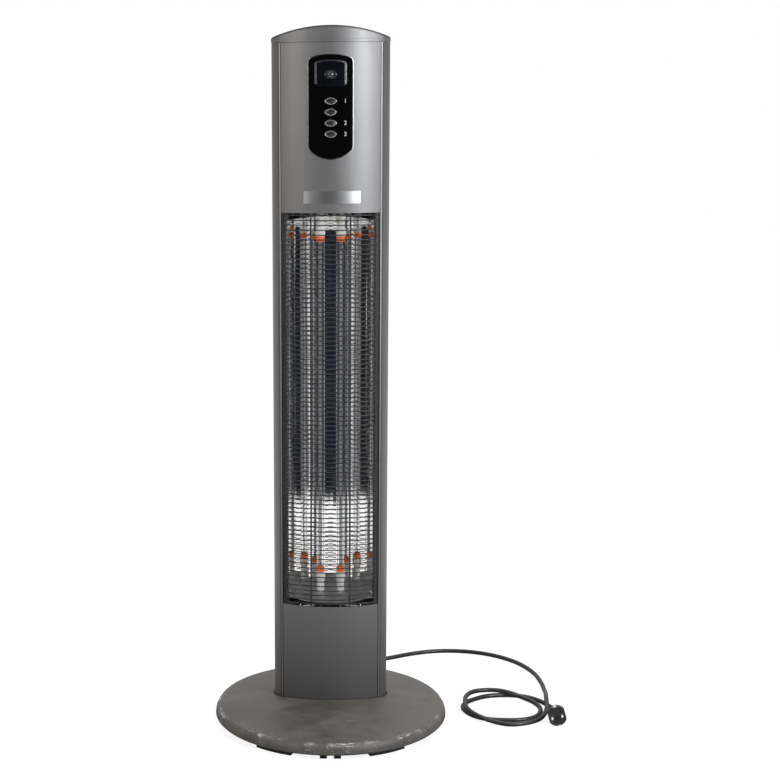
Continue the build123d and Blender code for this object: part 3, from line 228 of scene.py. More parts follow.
def soft_light(name, place, target, size, power, colour=(1, 1, 1)):
    """A square soft box that faces a point."""
    light = bpy.data.objects.new(name, bpy.data.lights.new(name, "AREA"))
    light.data.size, light.data.energy, light.data.color = size, power, colour
    light.location = place
    light.visible_camera = False
    light.rotation_euler = (Vector(target) - Vector(place)).to_track_quat("-Z", "Y").to_euler()
    bpy.context.scene.collection.objects.link(light)


soft_light("key_light", (1.62, -1.93, 1.5), (0, 0, 1.1), 1.1, 62, (0.93, 0.955, 1.0))
soft_light("fill_light", (-1.75, -2.0, 1.6), (0, 0, 1.1), 1.2, 20, (1.0, 0.965, 0.93))
soft_light("top_light", (0.1, 1.3, 3.1), (0, 0, 0.4), 2.0, 34)

world = bpy.data.worlds.new("studio")
world.use_nodes = True
bpy.context.scene.world = world
room = Nodes(world.node_tree)
room_white, room_dark = 0.6, 0.03
off_front = room.step(room.along(1, "Generated"), -0.85, -0.2) * room_white
overhead = room.step(room.along(2, "Generated"), 0.1, 0.9) * room_white
lit = off_front.math("MAXIMUM", off_front, overhead) + room_dark
glow_level = lit.math("MAXIMUM", lit, room.node("ShaderNodeLightPath", output="Is Camera Ray"))
background = world.node_tree.nodes["Background"]
world.node_tree.links.new(glow_level.socket, background.inputs["Strength"])
background.inputs["Color"].default_value = (1, 1, 1, 1)

# Rubber pads under the base's rim: moulded arcs of black rubber, glued to the plate.
# The heater stands on them.
mm = 0.001


def finished(name, mesh, finish, body="housing", stands_for=(), sharp=32, bevel=0.0):
    """Make a mesh a piece of the heater: paint it, smooth it and let it ride on its body."""
    piece = bpy.data.objects.new(name, mesh)
    bpy.context.scene.collection.objects.link(piece)
    mesh.materials.clear()
    mesh.materials.append(finish.material)
    mesh.polygons.foreach_set("use_smooth", [True] * len(mesh.polygons))
    mesh.set_sharp_from_angle(angle=radians(sharp))
    if bevel:
        edges = piece.modifiers.new("soft edges", "BEVEL")
        edges.width, edges.segments, edges.limit_method = bevel * mm, 2, "ANGLE"
        edges.angle_limit, edges.harden_normals = radians(35), True
    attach(piece, body)
    if stands_for:
        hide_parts(*stands_for)
    return piece


def from_model(node, finish, body="housing", bevel=0.0, sharp=32):
    """The model's own shape, its triangles merged so that curves shade smoothly."""
    weld_gap, flat_angle = 0.004 * mm, radians(0.4)
    shape = bmesh.new()
    shape.from_mesh(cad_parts[node].data)
    bmesh.ops.remove_doubles(shape, verts=shape.verts, dist=weld_gap)
    bmesh.ops.dissolve_limit(shape, angle_limit=flat_angle, verts=shape.verts, edges=shape.edges)
    mesh = bpy.data.meshes.new(node)
    bare = bpy.data.meshes.new(node)
    shape.to_mesh(bare)
    shape.free()
    mesh.from_pydata([v.co[:] for v in bare.vertices], [], [p.vertices[:] for p in bare.polygons])
    bpy.data.meshes.remove(bare)
    return finished(node + "_dressed", mesh, finish, body, (node,), sharp, bevel)


def painted(finish, *nodes):
    """Nodes of the model whose plain shape is right as it is."""
    for node in nodes:
        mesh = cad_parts[node].data
        mesh.materials.clear()
        mesh.materials.append(finish.material)


rubber = Finish("black_rubber", (0.022, 0.022, 0.022), roughness=0.7, specular_ior_level=0.35)
rubber.vary(base_color=rubber.tone(0.75 + rubber.noise(0.012) * 0.5))
rubber.bump(rubber.noise(0.0012, detail=2), 0.00008)
from_model("base_pads", rubber, bevel=0.5)

# Base plate, its four screws, the tower's bolts and the ballast: zinc-plated steel that
# closes the shell from below, and a cast disc that keeps the tower upright.
zinc = Finish("zinc_steel", (0.55, 0.55, 0.54), metallic=1.0)
zinc_spangle = zinc.node("ShaderNodeTexVoronoi", {"feature": "F1"},
                         {"Vector": zinc.place(), "Scale": 180.0}, output="Distance")
zinc.vary(base_color=zinc.tone(0.8 + zinc_spangle * 0.3), roughness=0.28 + zinc.noise(0.02) * 0.25)
from_model("base_plate", zinc)
from_model("base_bolts", zinc)
cast_iron = Finish("ballast_iron", (0.09, 0.088, 0.085), metallic=0.6, roughness=0.7)
cast_iron.bump(cast_iron.noise(0.003, detail=5), 0.0004)
from_model("base_ballast", cast_iron)


class Geometry(Nodes):
    """A Geometry Nodes tree with named sizes, turned into one plain mesh."""

    sockets = {float: "NodeSocketFloat", int: "NodeSocketInt", tuple: "NodeSocketVector"}

    def __init__(self, name):
        super().__init__(bpy.data.node_groups.new(name, "GeometryNodeTree"))
        self.tree.interface.new_socket("Geometry", in_out="OUTPUT", socket_type="NodeSocketGeometry")
        self.given = self.tree.nodes.new("NodeGroupInput")
        self.sizes = {}

    def size(self, name, value):
        """A named input of the tree, with its value for this piece."""
        socket = self.tree.interface.new_socket(name, in_out="INPUT", socket_type=self.sockets[type(value)])
        self.sizes[socket.identifier] = value
        return Value(self, self.given.outputs[name])

    def vector(self, x=0.0, y=0.0, z=0.0):
        return self.node("ShaderNodeCombineXYZ", {}, {0: x, 1: y, 2: z})

    def moved(self, geometry, **ways):
        """Geometry with a translation, a rotation or both."""
        inputs = {way.title(): value for way, value in ways.items()}
        return self.node("GeometryNodeTransform", {}, {"Geometry": geometry, **inputs})

    def joined(self, *parts):
        whole = self.tree.nodes.new("GeometryNodeJoinGeometry")
        for part in parts:
            self.tree.links.new(part.socket, whole.inputs[0])
        return Value(self, whole.outputs[0])

    def mesh(self, geometry, finish):
        """Run the tree and keep its result, with no modifier left."""
        real = self.node("GeometryNodeRealizeInstances", {}, {0: geometry})
        coloured = self.node("GeometryNodeSetMaterial", {}, {"Geometry": real, "Material": finish.material})
        self.tree.links.new(coloured.socket, self.tree.nodes.new("NodeGroupOutput").inputs[0])
        carrier = bpy.data.objects.new(self.tree.name, bpy.data.meshes.new(self.tree.name))
        bpy.context.scene.collection.objects.link(carrier)
        modifier = carrier.modifiers.new("tree", "NODES")
        modifier.node_group = self.tree
        for identifier, value in self.sizes.items():
            modifier[identifier] = value
        seen_now = carrier.evaluated_get(bpy.context.evaluated_depsgraph_get())
        result = bpy.data.meshes.new_from_object(seen_now)
        bpy.data.objects.remove(carrier)
        return result


def screw(tree, head_radius, head_height, shank_radius, shank_length):
    """A pan-head screw along +Z, with a low boss and a six-sided drive on its head."""
    head = tree.node("GeometryNodeMeshCone", {}, {"Vertices": 28, "Radius Top": head_radius * 0.78,
                                                  "Radius Bottom": head_radius, "Depth": head_height})
    boss = tree.node("GeometryNodeMeshCylinder", {}, {"Vertices": 28, "Radius": head_radius * 0.42,
                                                      "Depth": head_height * 0.25})
    drive = tree.node("GeometryNodeMeshCylinder", {}, {"Vertices": 6, "Radius": head_radius * 0.3,
                                                       "Depth": head_height * 0.26})
    shank = tree.node("GeometryNodeMeshCylinder", {}, {"Vertices": 16, "Radius": shank_radius,
                                                       "Depth": shank_length})
    boss = tree.moved(boss, translation=tree.vector(z=head_height))
    drive = tree.moved(drive, translation=tree.vector(z=head_height * 1.01))
    shank = tree.moved(shank, translation=tree.vector(z=shank_length * -0.5))
    return tree.joined(head, boss, drive, shank)


def screws_at(name, places, finish, node, head_radius, head_height, shank_radius, shank_length):
    """One screw for each place, a point and the way its head faces."""
    tree = Geometry(name)
    one = screw(tree, tree.size("Head Radius", head_radius), tree.size("Head Height", head_height),
                tree.size("Shank Radius", shank_radius), tree.size("Shank Length", shank_length))
    copies = []
    for number, (point, way) in enumerate(places):
        turn = Vector(way).to_track_quat("Z", "Y").to_euler()
        spot = tree.size(f"Place {number + 1}", tuple(point))
        copies.append(tree.moved(one, translation=spot, rotation=tuple(turn)))
    return finished(name, tree.mesh(tree.joined(*copies), finish), finish, stands_for=(node,))


base_screw_circle, base_plate_level, base_screw_angles = 0.203, 0.011, (70, 110, 250, 290)
base_screw_places = [((base_screw_circle * sin(radians(turn)), base_screw_circle * cos(radians(turn)),
                       base_plate_level), (0, 0, -1)) for turn in base_screw_angles]
screws_at("base_plate_screws", base_screw_places, zinc, "base_screws", 0.0036, 0.0014, 0.002, 0.012)

# Base shell: a pressed steel dome, spun to a round rim and painted in a dark satin grey. Years on a
# terrace have left dust, rubs and pale scratches on it. The pale rubs along the rim's crease are
# partly wear and partly a painted highlight, and the socket's inner wall is painted near black as
# painted shade.
base_paint = Finish("base_paint", (0.062, 0.058, 0.053), specular_ior_level=0.5)
across, deep, height = [base_paint.along(axis) for axis in range(3)]
from_middle = (across * across + deep * deep) ** 0.5
bearing = across.math("ARCTAN2", across, deep)
round_it = base_paint.node("ShaderNodeCombineXYZ", {}, {0: bearing * 0.045, 1: from_middle, 2: height})
scrapes = base_paint.node("ShaderNodeTexNoise", {}, {"Vector": round_it, "Scale": 420.0, "Detail": 5.0,
                                                     "Roughness": 0.7})
patches = base_paint.noise(0.055, detail=5, roughness=0.65)
rim_zone, crease_start, crease_end = (0.196, 0.216), (0.2125, 0.2155), (0.2185, 0.2215)
near_rim = base_paint.step(from_middle, *rim_zone)
on_crease = base_paint.step(from_middle, *crease_start) * (1.0 - base_paint.step(from_middle, *crease_end))
worn_away = base_paint.step(patches, 0.46, 0.66)
dust = base_paint.step(base_paint.noise(0.07, (1.0, 1.6, 1.0), detail=9, roughness=0.66), 0.36, 0.68)
wandering = base_paint.step(base_paint.noise(0.012, (0.3, 1.0, 1.0), detail=8, roughness=0.8), 0.57, 0.66)
fine_marks = base_paint.step(scrapes, 0.62, 0.70) * (0.2 + near_rim * 0.5) + wandering * worn_away * 0.7
# Pale rubs: wear near the rim, and along the crease partly a painted highlight of the crease.
rubs_and_crease_highlight = base_paint.step(scrapes + on_crease * 0.13, 0.56, 0.68)
rubs_and_crease_highlight = rubs_and_crease_highlight * worn_away * (0.1 + near_rim * 0.5 + on_crease * 0.6)
chips = base_paint.step(base_paint.noise(0.004, detail=2), 0.66, 0.71) * near_rim * worn_away
wear_and_painted_light = base_paint.mix(dust * 0.75, base_paint.base_color, (0.132, 0.119, 0.102))
wear_and_painted_light = base_paint.mix(fine_marks, wear_and_painted_light, (0.24, 0.23, 0.215))
wear_and_painted_light = base_paint.mix(rubs_and_crease_highlight, wear_and_painted_light, (0.5, 0.48, 0.45))
wear_and_painted_light = base_paint.mix(chips * 0.7, wear_and_painted_light, (0.6, 0.58, 0.55))
# Inside the socket round the tower the colour is set near black: painted shade in the recess.
dome_height, dome_flatness, socket_edge, socket_depth = 0.057, 1.9, (0.1112, 0.1125), (0.0004, 0.0015)
below_dome = dome_height - from_middle * from_middle / dome_flatness - height
past_socket = base_paint.step(from_middle, *socket_edge)
socket_painted_shade = base_paint.step(below_dome, *socket_depth) * (1.0 - past_socket)
wear_and_painted_light = base_paint.mix(socket_painted_shade, wear_and_painted_light, (0.0015, 0.0015, 0.0015))
base_paint.vary(base_color=wear_and_painted_light, roughness=0.4 + dust * 0.25 + rubs_and_crease_highlight * 0.2)
base_paint.bump(scrapes * 0.5 + base_paint.noise(0.05, detail=1) * 6.0 - rubs_and_crease_highlight, 0.0001)
from_model("base_shell", base_paint, sharp=18)

# Gasket and foot: a soft black strip that fills the slot round the tower, and the
# casting that the rails are screwed to, bolted through the socket's floor.
from_model("socket_gasket", rubber)
cast_foot = Finish("cast_foot", (0.35, 0.35, 0.35), metallic=0.8, roughness=0.55)
cast_foot.bump(cast_foot.noise(0.002, detail=4), 0.0001)
from_model("tower_foot", cast_foot)

# Side rails: two aluminium extrusions over the full height, satin anodised in a warm
# grey. A lip beside each panel, then a fine groove, then the rounded side.
rail_metal = Finish("anodised_aluminium", (0.155, 0.15, 0.143), metallic=0.75)
drawn = rail_metal.noise(0.0016, (1.0, 1.0, 0.012), detail=3)
cloud = rail_metal.noise(0.16, (1.0, 1.0, 0.5), detail=4)
from_centre = abs(rail_metal.along(0))
lip_start, lip_end = (0.0911, 0.0915), (0.0936, 0.0941)
on_lip = rail_metal.step(from_centre, *lip_start) * (1.0 - rail_metal.step(from_centre, *lip_end))
# Painted highlight along each lip, brighter higher up the rail.
lip_painted_highlight = on_lip * (0.25 + rail_metal.step(rail_metal.along(2), 0.2, 1.1) * 1.2)
rail_tone_and_lip_highlight = rail_metal.tone(0.88 + drawn * 0.12 + cloud * 0.14 + lip_painted_highlight)
rail_metal.vary(base_color=rail_tone_and_lip_highlight, roughness=0.34 + drawn * 0.06 + cloud * 0.12)
rail_metal.bump(drawn, 0.00002)
for rail in ("side_rail_left", "side_rail_right"):
    from_model(rail, rail_metal, bevel=0.3)

# Rear and front panels: folded steel sheet with a fine metallic coat. The rear one is
# screwed to the rails and has two fields of louvres at its head and two at its foot.
panel_paint = Finish("panel_paint", (0.165, 0.163, 0.161), metallic=0.6, specular_ior_level=0.5)
flakes = panel_paint.noise(0.0007, detail=1)
haze = panel_paint.noise(0.11, (1.0, 1.0, 0.6), detail=5, roughness=0.6)
smears = panel_paint.step(panel_paint.noise(0.035, (1.0, 1.0, 0.25), detail=5), 0.5, 0.8)
streaks = panel_paint.noise(0.012, (1.0, 1.0, 0.04), detail=4)
# Darker towards the bottom: painted shade, where the light falls off lower down.
lower_painted_shade = panel_paint.step(panel_paint.along(2), -0.02, 0.34) * 0.46 + 0.54
panel_paint.vary(base_color=panel_paint.tone((0.82 + flakes * 0.12 + haze * 0.14 + streaks * 0.12) * lower_painted_shade),
                 roughness=0.38 + haze * 0.1 + smears * 0.08)
panel_paint.bump(flakes + haze * 3.0, 0.000015)
for panel in ("rear_panel", "lower_front_panel", "upper_front_panel"):
    from_model(panel, panel_paint, bevel=0.3)

front_radius, front_centre = 0.184, 0.132


def front_y(x, inset=0.0):
    """The front's surface at a distance from the middle, drawn in by an inset."""
    return front_centre - sqrt((front_radius - inset) ** 2 - x ** 2)


screw_x = 0.0864
screw_lean = asin(screw_x / front_radius)
lowest_screw, screw_spacing, head_seat = 0.094, 0.286, 0.0007
rear_places = [((side * screw_x, -front_y(screw_x) + head_seat, lowest_screw + screw_spacing * row),
                (side * sin(screw_lean), cos(screw_lean), 0)) for side in (-1, 1) for row in range(5)]
screws_at("rear_panel_screws", rear_places, zinc, "panel_screws", 0.0029, 0.0014, 0.0017, 0.009)

# Louvre hoods: the sheet is lanced and pressed outwards over each slot, so that rain
# runs off and warm air gets out.
hoods = Geometry("louvre_hoods")
hood_length = hoods.size("Hood Length", 0.052)
hood_drop = hoods.size("Hood Drop", 0.0052)
hood_stand = hoods.size("Hood Stand", 0.0026)
sheet_wall = hoods.size("Sheet Wall", 0.0006)
column_offset = hoods.size("Column Offset", 0.033)
row_pitch = hoods.size("Row Pitch", 0.016)
rear_radius = hoods.size("Rear Radius", front_radius)
rear_centre = hoods.size("Rear Centre", front_centre)
field_levels = [hoods.size("Head Field", 1.150), hoods.size("Foot Field", 0.190)]


def coordinates_of(tree):
    """The three coordinates of each point of the tree's geometry."""
    place = tree.node("ShaderNodeSeparateXYZ", {}, {0: tree.node("GeometryNodeInputPosition")})
    return [Value(tree, place.socket.node.outputs[axis]) for axis in range(3)]


flat = hoods.node("GeometryNodeMeshGrid", {}, {"Size X": hood_length, "Size Y": 1.0, "Vertices X": 25,
                                               "Vertices Y": 7})
run, down, _ = coordinates_of(hoods)
swell = ((0.5 - down) * (pi / 2)).sine()
ends = 1.0 - abs(run * 2.0 / hood_length) ** 6.0
awning = hoods.node("GeometryNodeSetPosition", {}, {
    "Geometry": flat, "Position": hoods.vector(run, swell * ends * hood_stand, down * hood_drop)})
thick = hoods.node("GeometryNodeExtrudeMesh", {}, {"Mesh": awning, "Offset Scale": sheet_wall,
                                                   "Individual": False})
hood = hoods.joined(thick, hoods.node("GeometryNodeFlipFaces", {}, {"Mesh": awning}))
row_count = 8
fields = []
for level in field_levels:
    for side in (-1.0, 1.0):
        lowest_row = level - row_pitch * ((row_count - 1) / 2)
        rows = hoods.node("GeometryNodeMeshLine", {}, {
            "Count": row_count, "Offset": hoods.vector(z=row_pitch),
            "Start Location": hoods.vector(x=column_offset * side, z=lowest_row)})
        fields.append(hoods.node("GeometryNodeInstanceOnPoints", {}, {"Points": rows, "Instance": hood}))
laid_out = hoods.node("GeometryNodeRealizeInstances", {}, {0: hoods.joined(*fields)})
run, out, level = coordinates_of(hoods)
angle, reach = run / rear_radius, rear_radius + out
curved = hoods.node("GeometryNodeSetPosition", {}, {"Geometry": laid_out, "Position": hoods.vector(
    reach * angle.sine(), reach * angle.math("COSINE", angle) - rear_centre, level)})
finished("louvre_hoods", hoods.mesh(curved, panel_paint), panel_paint, sharp=50)

# Boards, terminals and wires: the power board on its standoffs at the back of the
# head, the control board behind the fascia, and the sleeved loom down the back.
laminate = Finish("board_laminate", (0.03, 0.12, 0.045), roughness=0.4)
tracks = laminate.step(laminate.noise(0.006, detail=1), 0.5, 0.53)
laminate.vary(base_color=laminate.mix(tracks * 0.5, laminate.base_color, (0.06, 0.2, 0.08)))
painted(laminate, "power_board", "control_board")
moulded = Finish("component_plastic", (0.03, 0.03, 0.032), roughness=0.5)
moulded.bump(moulded.noise(0.0008), 0.00003)
painted(moulded, "power_components", "power_terminals", "mains_terminals", "tip_switch")
sleeve = Finish("wire_sleeve", (0.55, 0.52, 0.44), roughness=0.85)
sleeve.bump(sleeve.noise(0.0008, (1.0, 1.0, 0.4)), 0.0001)
painted(sleeve, "lamp_leads", "wiring_loom", "supply_lead")
painted(zinc, "power_standoffs", "thermal_cutout")

# Reflector: one sheet of bright aluminium, folded into flat facets round the lamps
# and closed at each end by a sloping plate, with a zinc-plated carrier for the lamps
# beyond it. Heat has dulled the sheet a little, and dust lies on the lower plate.
bright_sheet = Finish("bright_sheet", (0.83, 0.83, 0.82), metallic=1.0)
rolled = bright_sheet.noise(0.0022, (1.0, 1.0, 0.02), detail=3)
scorch = bright_sheet.noise(0.09, (1.0, 1.0, 0.35), detail=4)
bright_sheet.vary(base_color=bright_sheet.mix(bright_sheet.step(scorch, 0.45, 0.75) * 0.5,
                                              bright_sheet.base_color, (0.66, 0.63, 0.6)),
                  roughness=0.02 + rolled * 0.02 + scorch * 0.03)
warp = bright_sheet.noise(0.07, (1.0, 1.0, 0.35), detail=1)
bright_sheet.bump(rolled * 0.5 + warp * 40.0, 0.00001)
for sheet in ("reflector", "reflector_end_top"):
    from_model(sheet, bright_sheet, sharp=6)
dulled_sheet = Finish("bright_sheet", (0.42, 0.42, 0.42), metallic=1.0)
dulled_sheet.vary(base_color=dulled_sheet.tone(0.8 + dulled_sheet.noise(0.03) * 0.4),
                  roughness=0.26 + dulled_sheet.noise(0.01, (1.0, 0.1, 1.0)) * 0.16)
from_model("reflector_end_bottom", dulled_sheet, sharp=6)
from_model("lamp_carrier_top", zinc)
from_model("lamp_carrier_bottom", zinc)

# Lamps: a woven carbon strip in a clear quartz tube, pinched into an orange seal and
# a white ceramic cap at each end. The caps' spigots go through the end plates.


def skin(shape, rings):
    """Faces from each ring of corners to the next. A tip is one corner, repeated."""
    for here, there in zip(rings, rings[1:]):
        for i, corner in enumerate(here):
            after = (i + 1) % len(here)
            shape.faces.new(list(dict.fromkeys((corner, here[after], there[after], there[i]))))


def closed_mesh(name, shape):
    """The shape as a mesh whose faces all look outwards."""
    bmesh.ops.recalc_face_normals(shape, faces=shape.faces)
    mesh = bpy.data.meshes.new(name)
    shape.to_mesh(mesh)
    shape.free()
    return mesh


def turned(name, profile, places, finish, stands_for=(), around=40):
    """Solids of revolution: a profile of (radius, height) turned about each place's Z."""
    shape = bmesh.new()
    for place in places:
        rings = []
        for radius, height in profile:
            if radius == 0:
                rings.append([shape.verts.new(place @ Vector((0, 0, height)))] * around)
            else:
                rings.append([shape.verts.new(place @ Vector((radius * cos(2 * pi * i / around),
                                                              radius * sin(2 * pi * i / around), height)))
                              for i in range(around)])
        skin(shape, rings)
    return finished(name, closed_mesh(name, shape), finish, stands_for=stands_for)


lamp_x, lamp_y = 0.019, -0.010
tube_bottom, tube_top = 0.298, 0.938
tube_inside, tube_outside = 0.0058, 0.007
quartz = Finish("quartz", (0.93, 0.94, 0.95), roughness=0.04, transmission_weight=1.0, ior=1.45)
quartz.vary(roughness=0.03 + quartz.noise(0.05, (1.0, 1.0, 0.2)) * 0.05)
tube_length = tube_top - tube_bottom
tube_profile = [(tube_inside, 0), (tube_outside, 0), (tube_outside, tube_length), (tube_inside, tube_length),
                (tube_inside, 0)]
for side, way in (("left", -1), ("right", 1)):
    turned(f"quartz_tube_{side}", tube_profile, [Matrix.Translation((way * lamp_x, lamp_y, tube_bottom))],
           quartz, stands_for=(f"lamp_tube_{side}",))
carbon = Finish("carbon_strip", (0.42, 0.42, 0.42), metallic=0.7)
carbon_weave = carbon.noise(0.004, (1.0, 1.0, 0.1))
carbon.vary(base_color=carbon.tone(0.7 + carbon_weave * 0.6), roughness=0.38 + carbon_weave * 0.2)
painted(carbon, "lamp_strips")

seal = Finish("orange_seal", (0.95, 0.17, 0.012), roughness=0.45)
seal.vary(base_color=seal.tone(0.75 + seal.noise(0.004) * 0.5))
seal_height = 0.010
seal_places = [Matrix.Translation((way * lamp_x, lamp_y, z)) for way in (-1, 1)
               for z in (tube_bottom, tube_top - seal_height)]
turned("seal_bands", [(0.0071, 0), (0.0075, 0.0004), (0.0078, 0.002), (0.0078, 0.008), (0.0075, 0.0096),
                      (0.0071, seal_height), (0.0071, 0)], seal_places, seal, stands_for=("lamp_seals",))

ceramic = Finish("white_ceramic", (0.72, 0.7, 0.66), roughness=0.55)
soot = ceramic.step(ceramic.noise(0.008, detail=4), 0.5, 0.8)
ceramic.vary(base_color=ceramic.mix(soot * 0.35, ceramic.base_color, (0.5, 0.44, 0.36)))
ceramic.bump(ceramic.noise(0.001), 0.00004)
cap_profile = [(0, 0), (0.0082, 0), (0.009, 0.0008), (0.009, 0.0142), (0.0084, 0.015), (0.007, 0.015),
               (0.007, 0.061), (0, 0.061)]
cap_places = [Matrix.Translation((way * lamp_x, lamp_y, tube_top)) for way in (-1, 1)]
cap_places += [Matrix.Translation((way * lamp_x, lamp_y, tube_bottom)) @ Matrix.Rotation(pi, 4, "X")
               for way in (-1, 1)]
turned("ceramic_caps", cap_profile, cap_places, ceramic, stands_for=("lamp_caps",))

# Grille: round steel wires bent to the front's curve and welded to two uprights, in a
# black coat. A folded channel holds their ends along each side.
grille_coat = Finish("black_paint", (0.018, 0.018, 0.019), specular_ior_level=0.5)
grille_coat.vary(roughness=0.35 + grille_coat.noise(0.01) * 0.2)
grille_coat.bump(grille_coat.noise(0.0012), 0.00003)
window_bottom, window_height, wire_rows = 0.239, 0.744, 84
wire_thickness, wire_inset, wire_end = 0.0022, 0.0014, 0.0898
wires = Geometry("grille_wire_rows")
wire_count = wires.size("Wire Count", wire_rows)
wire_pitch = wires.size("Wire Pitch", window_height / wire_rows)
first_level = wires.size("First Level", window_bottom + window_height / wire_rows / 2)
wire_radius = wires.size("Wire Radius", wire_thickness / 2)
bend_radius = wires.size("Bend Radius", front_radius - wire_inset)
half_sweep = wires.size("Half Sweep", asin(wire_end / front_radius))
bend = wires.node("GeometryNodeCurveArc", {}, {
    "Resolution": 30, "Radius": bend_radius,
    "Start Angle": -pi / 2 - half_sweep, "Sweep Angle": half_sweep * 2.0})
round_section = wires.node("GeometryNodeCurvePrimitiveCircle", {}, {"Resolution": 8, "Radius": wire_radius})
one_wire = wires.node("GeometryNodeCurveToMesh", {}, {"Curve": bend, "Profile Curve": round_section,
                                                      "Fill Caps": True})
levels = wires.node("GeometryNodeMeshLine", {}, {
    "Count": wire_count, "Offset": wires.vector(z=wire_pitch),
    "Start Location": wires.vector(y=front_centre, z=first_level)})
rows = wires.node("GeometryNodeInstanceOnPoints", {}, {"Points": levels, "Instance": one_wire})
finished("grille_wire_rows", wires.mesh(rows, grille_coat), grille_coat, stands_for=("grille_wires",),
         sharp=60)
rod_x, rod_inset, rod_radius, rod_foot, rod_length = 0.0365, 0.0027, 0.0016, 0.234, 0.754
rod_y = front_y(rod_x, rod_inset) + rod_radius
turned("grille_upright_rods", [(0, 0), (rod_radius, 0), (rod_radius, rod_length), (0, rod_length)],
       [Matrix.Translation((way * rod_x, rod_y, rod_foot)) for way in (-1, 1)], grille_coat,
       stands_for=("grille_uprights",), around=16)
from_model("grille_channel_left", grille_coat)
from_model("grille_channel_right", grille_coat)

# Blank strip: a thin label of brushed foil, stuck to the upper panel just above the
# grille.
foil = Finish("silver_trim", (0.42, 0.42, 0.42), metallic=1.0)
brushed = foil.noise(0.0009, (0.02, 1.0, 1.0), detail=4)
foil.vary(base_color=foil.tone(0.8 + brushed * 0.3), roughness=0.24 + brushed * 0.12)
foil.bump(brushed, 0.00001)
strip_left, strip_right, strip_low, strip_high, strip_columns = -0.0493, 0.0541, 1.0007, 1.0229, 32
strip_back, strip_face = -0.00005, -0.00035
strip_edge = ((strip_back, strip_low), (strip_face, strip_low),
              (strip_face, strip_high), (strip_back, strip_high))
strip_shape = bmesh.new()
strip_rings = []
for column in range(strip_columns + 1):
    x = strip_left + (strip_right - strip_left) * column / strip_columns
    strip_rings.append([strip_shape.verts.new((x, front_y(x, inset), z)) for inset, z in strip_edge])
skin(strip_shape, strip_rings)
strip_shape.faces.new(strip_rings[0])
strip_shape.faces.new(reversed(strip_rings[-1]))
finished("blank_strip", closed_mesh("blank_strip", strip_shape), foil)

# Control fascia: a gloss black plate with an arched head, held in the panel's cut-out
# and edged with a silvered bevel. The display has its own silvered frame.
gloss_black = Finish("gloss_black", (0.0012, 0.0012, 0.0014), specular_ior_level=0.5)
fingers = gloss_black.step(gloss_black.noise(0.012, detail=4), 0.5, 0.8)
gloss_black.vary(roughness=0.06 + fingers * 0.06)
from_model("control_fascia", gloss_black, bevel=0.3)
dull_chrome = Finish("silver_trim", (0.27, 0.27, 0.28), metallic=1.0)
tarnish = dull_chrome.noise(0.004)
dull_chrome.vary(base_color=dull_chrome.tone(0.85 + tarnish * 0.3), roughness=0.2 + tarnish * 0.1)
from_model("fascia_bevel", dull_chrome, bevel=0.25)
from_model("display_trim", dull_chrome, sharp=25)
smoked = Finish("display_window", (0.002, 0.0022, 0.003), roughness=0.06)
clouding = smoked.step(smoked.noise(0.02, detail=2), 0.3, 0.7)
smoked.vary(base_color=smoked.mix(clouding, smoked.base_color, (0.0038, 0.0052, 0.009)),
            roughness=0.05 + clouding * 0.03)
from_model("display_window", smoked, bevel=0.2)


def eye_form(name, sections, finish, levels, stands_for, around=48):
    """A skin over eye-shaped sections: half width, half height and y, in millimetres."""
    shape = bmesh.new()
    for level in levels:
        rings = []
        for half_width, half_height, y in sections:
            if half_width == 0:
                rings.append([shape.verts.new((0, y * mm, level))] * around)
                continue
            arc = (half_width ** 2 + half_height ** 2) / (2 * half_height)
            ring = []
            for i in range(around):
                x = half_width * cos(2 * pi * i / around)
                z = sqrt(arc * arc - x * x) - arc + half_height
                ring.append(shape.verts.new((x * mm, y * mm, level + (z if 2 * i < around else -z) * mm)))
            rings.append(ring)
        skin(shape, rings)
    bmesh.ops.remove_doubles(shape, verts=shape.verts, dist=0.002 * mm)
    return finished(name, closed_mesh(name, shape), finish, stands_for=stands_for, sharp=50)


lens_plastic = Finish("lens_plastic", (0.012, 0.012, 0.014), roughness=0.12, coat_weight=1.0,
                      coat_roughness=0.04)
lens_plastic.vary(base_color=lens_plastic.tone(0.8 + lens_plastic.noise(0.004) * 0.4))
lens_back, lens_radius, lens_sunk, receiver_level = -53.2, 8.5, 5.5, 1.231
dome = [(half, half * 0.94, lens_back - (sqrt(lens_radius ** 2 - half ** 2) - lens_sunk))
        for half in (6.4, 6.0, 5.4, 4.6, 3.7, 2.7, 1.7, 0.8)]
lens_sections = [(0, 0, lens_back), (11.5, 7.5, lens_back), (11.2, 7.3, -53.5), (8.2, 6.8, -53.6), *dome,
                 (0, 0, -56.2)]
eye_form("receiver_dome", lens_sections, lens_plastic, [receiver_level], ("receiver_lens",))

# Buttons: four eye-shaped caps of gloss black plastic that slide in polished rings,
# each ring pressed into the fascia. Plain numbers are printed beside three.
ring_chrome = Finish("ring_chrome", (0.72, 0.72, 0.71), metallic=1.0)
ring_chrome.vary(roughness=0.14 + ring_chrome.noise(0.003) * 0.1)
top_button, button_spacing = 1.184, 0.0196
button_levels = [top_button - button_spacing * row for row in range(4)]
ring_back, ring_flange = -47.72, -48.72
ring_sections = [(8.6, 4.2, ring_back), (13.2, 7.1, ring_back), (13.2, 7.1, ring_flange),
                 (11.2, 6.1, ring_flange), (11.2, 6.1, -54.1), (11.0, 5.95, -54.6), (10.5, 5.5, -54.92),
                 (9.9, 5.05, -55.0), (9.3, 4.65, -54.9), (8.8, 4.35, -54.55), (8.6, 4.2, -54.0),
                 (8.6, 4.2, ring_back)]
eye_form("button_ring_set", ring_sections, ring_chrome, button_levels, ("button_rings",))
button_plastic = Finish("button_plastic", (0.010, 0.010, 0.011), coat_weight=0.3)
button_plastic.vary(roughness=0.18 + button_plastic.noise(0.004) * 0.14)
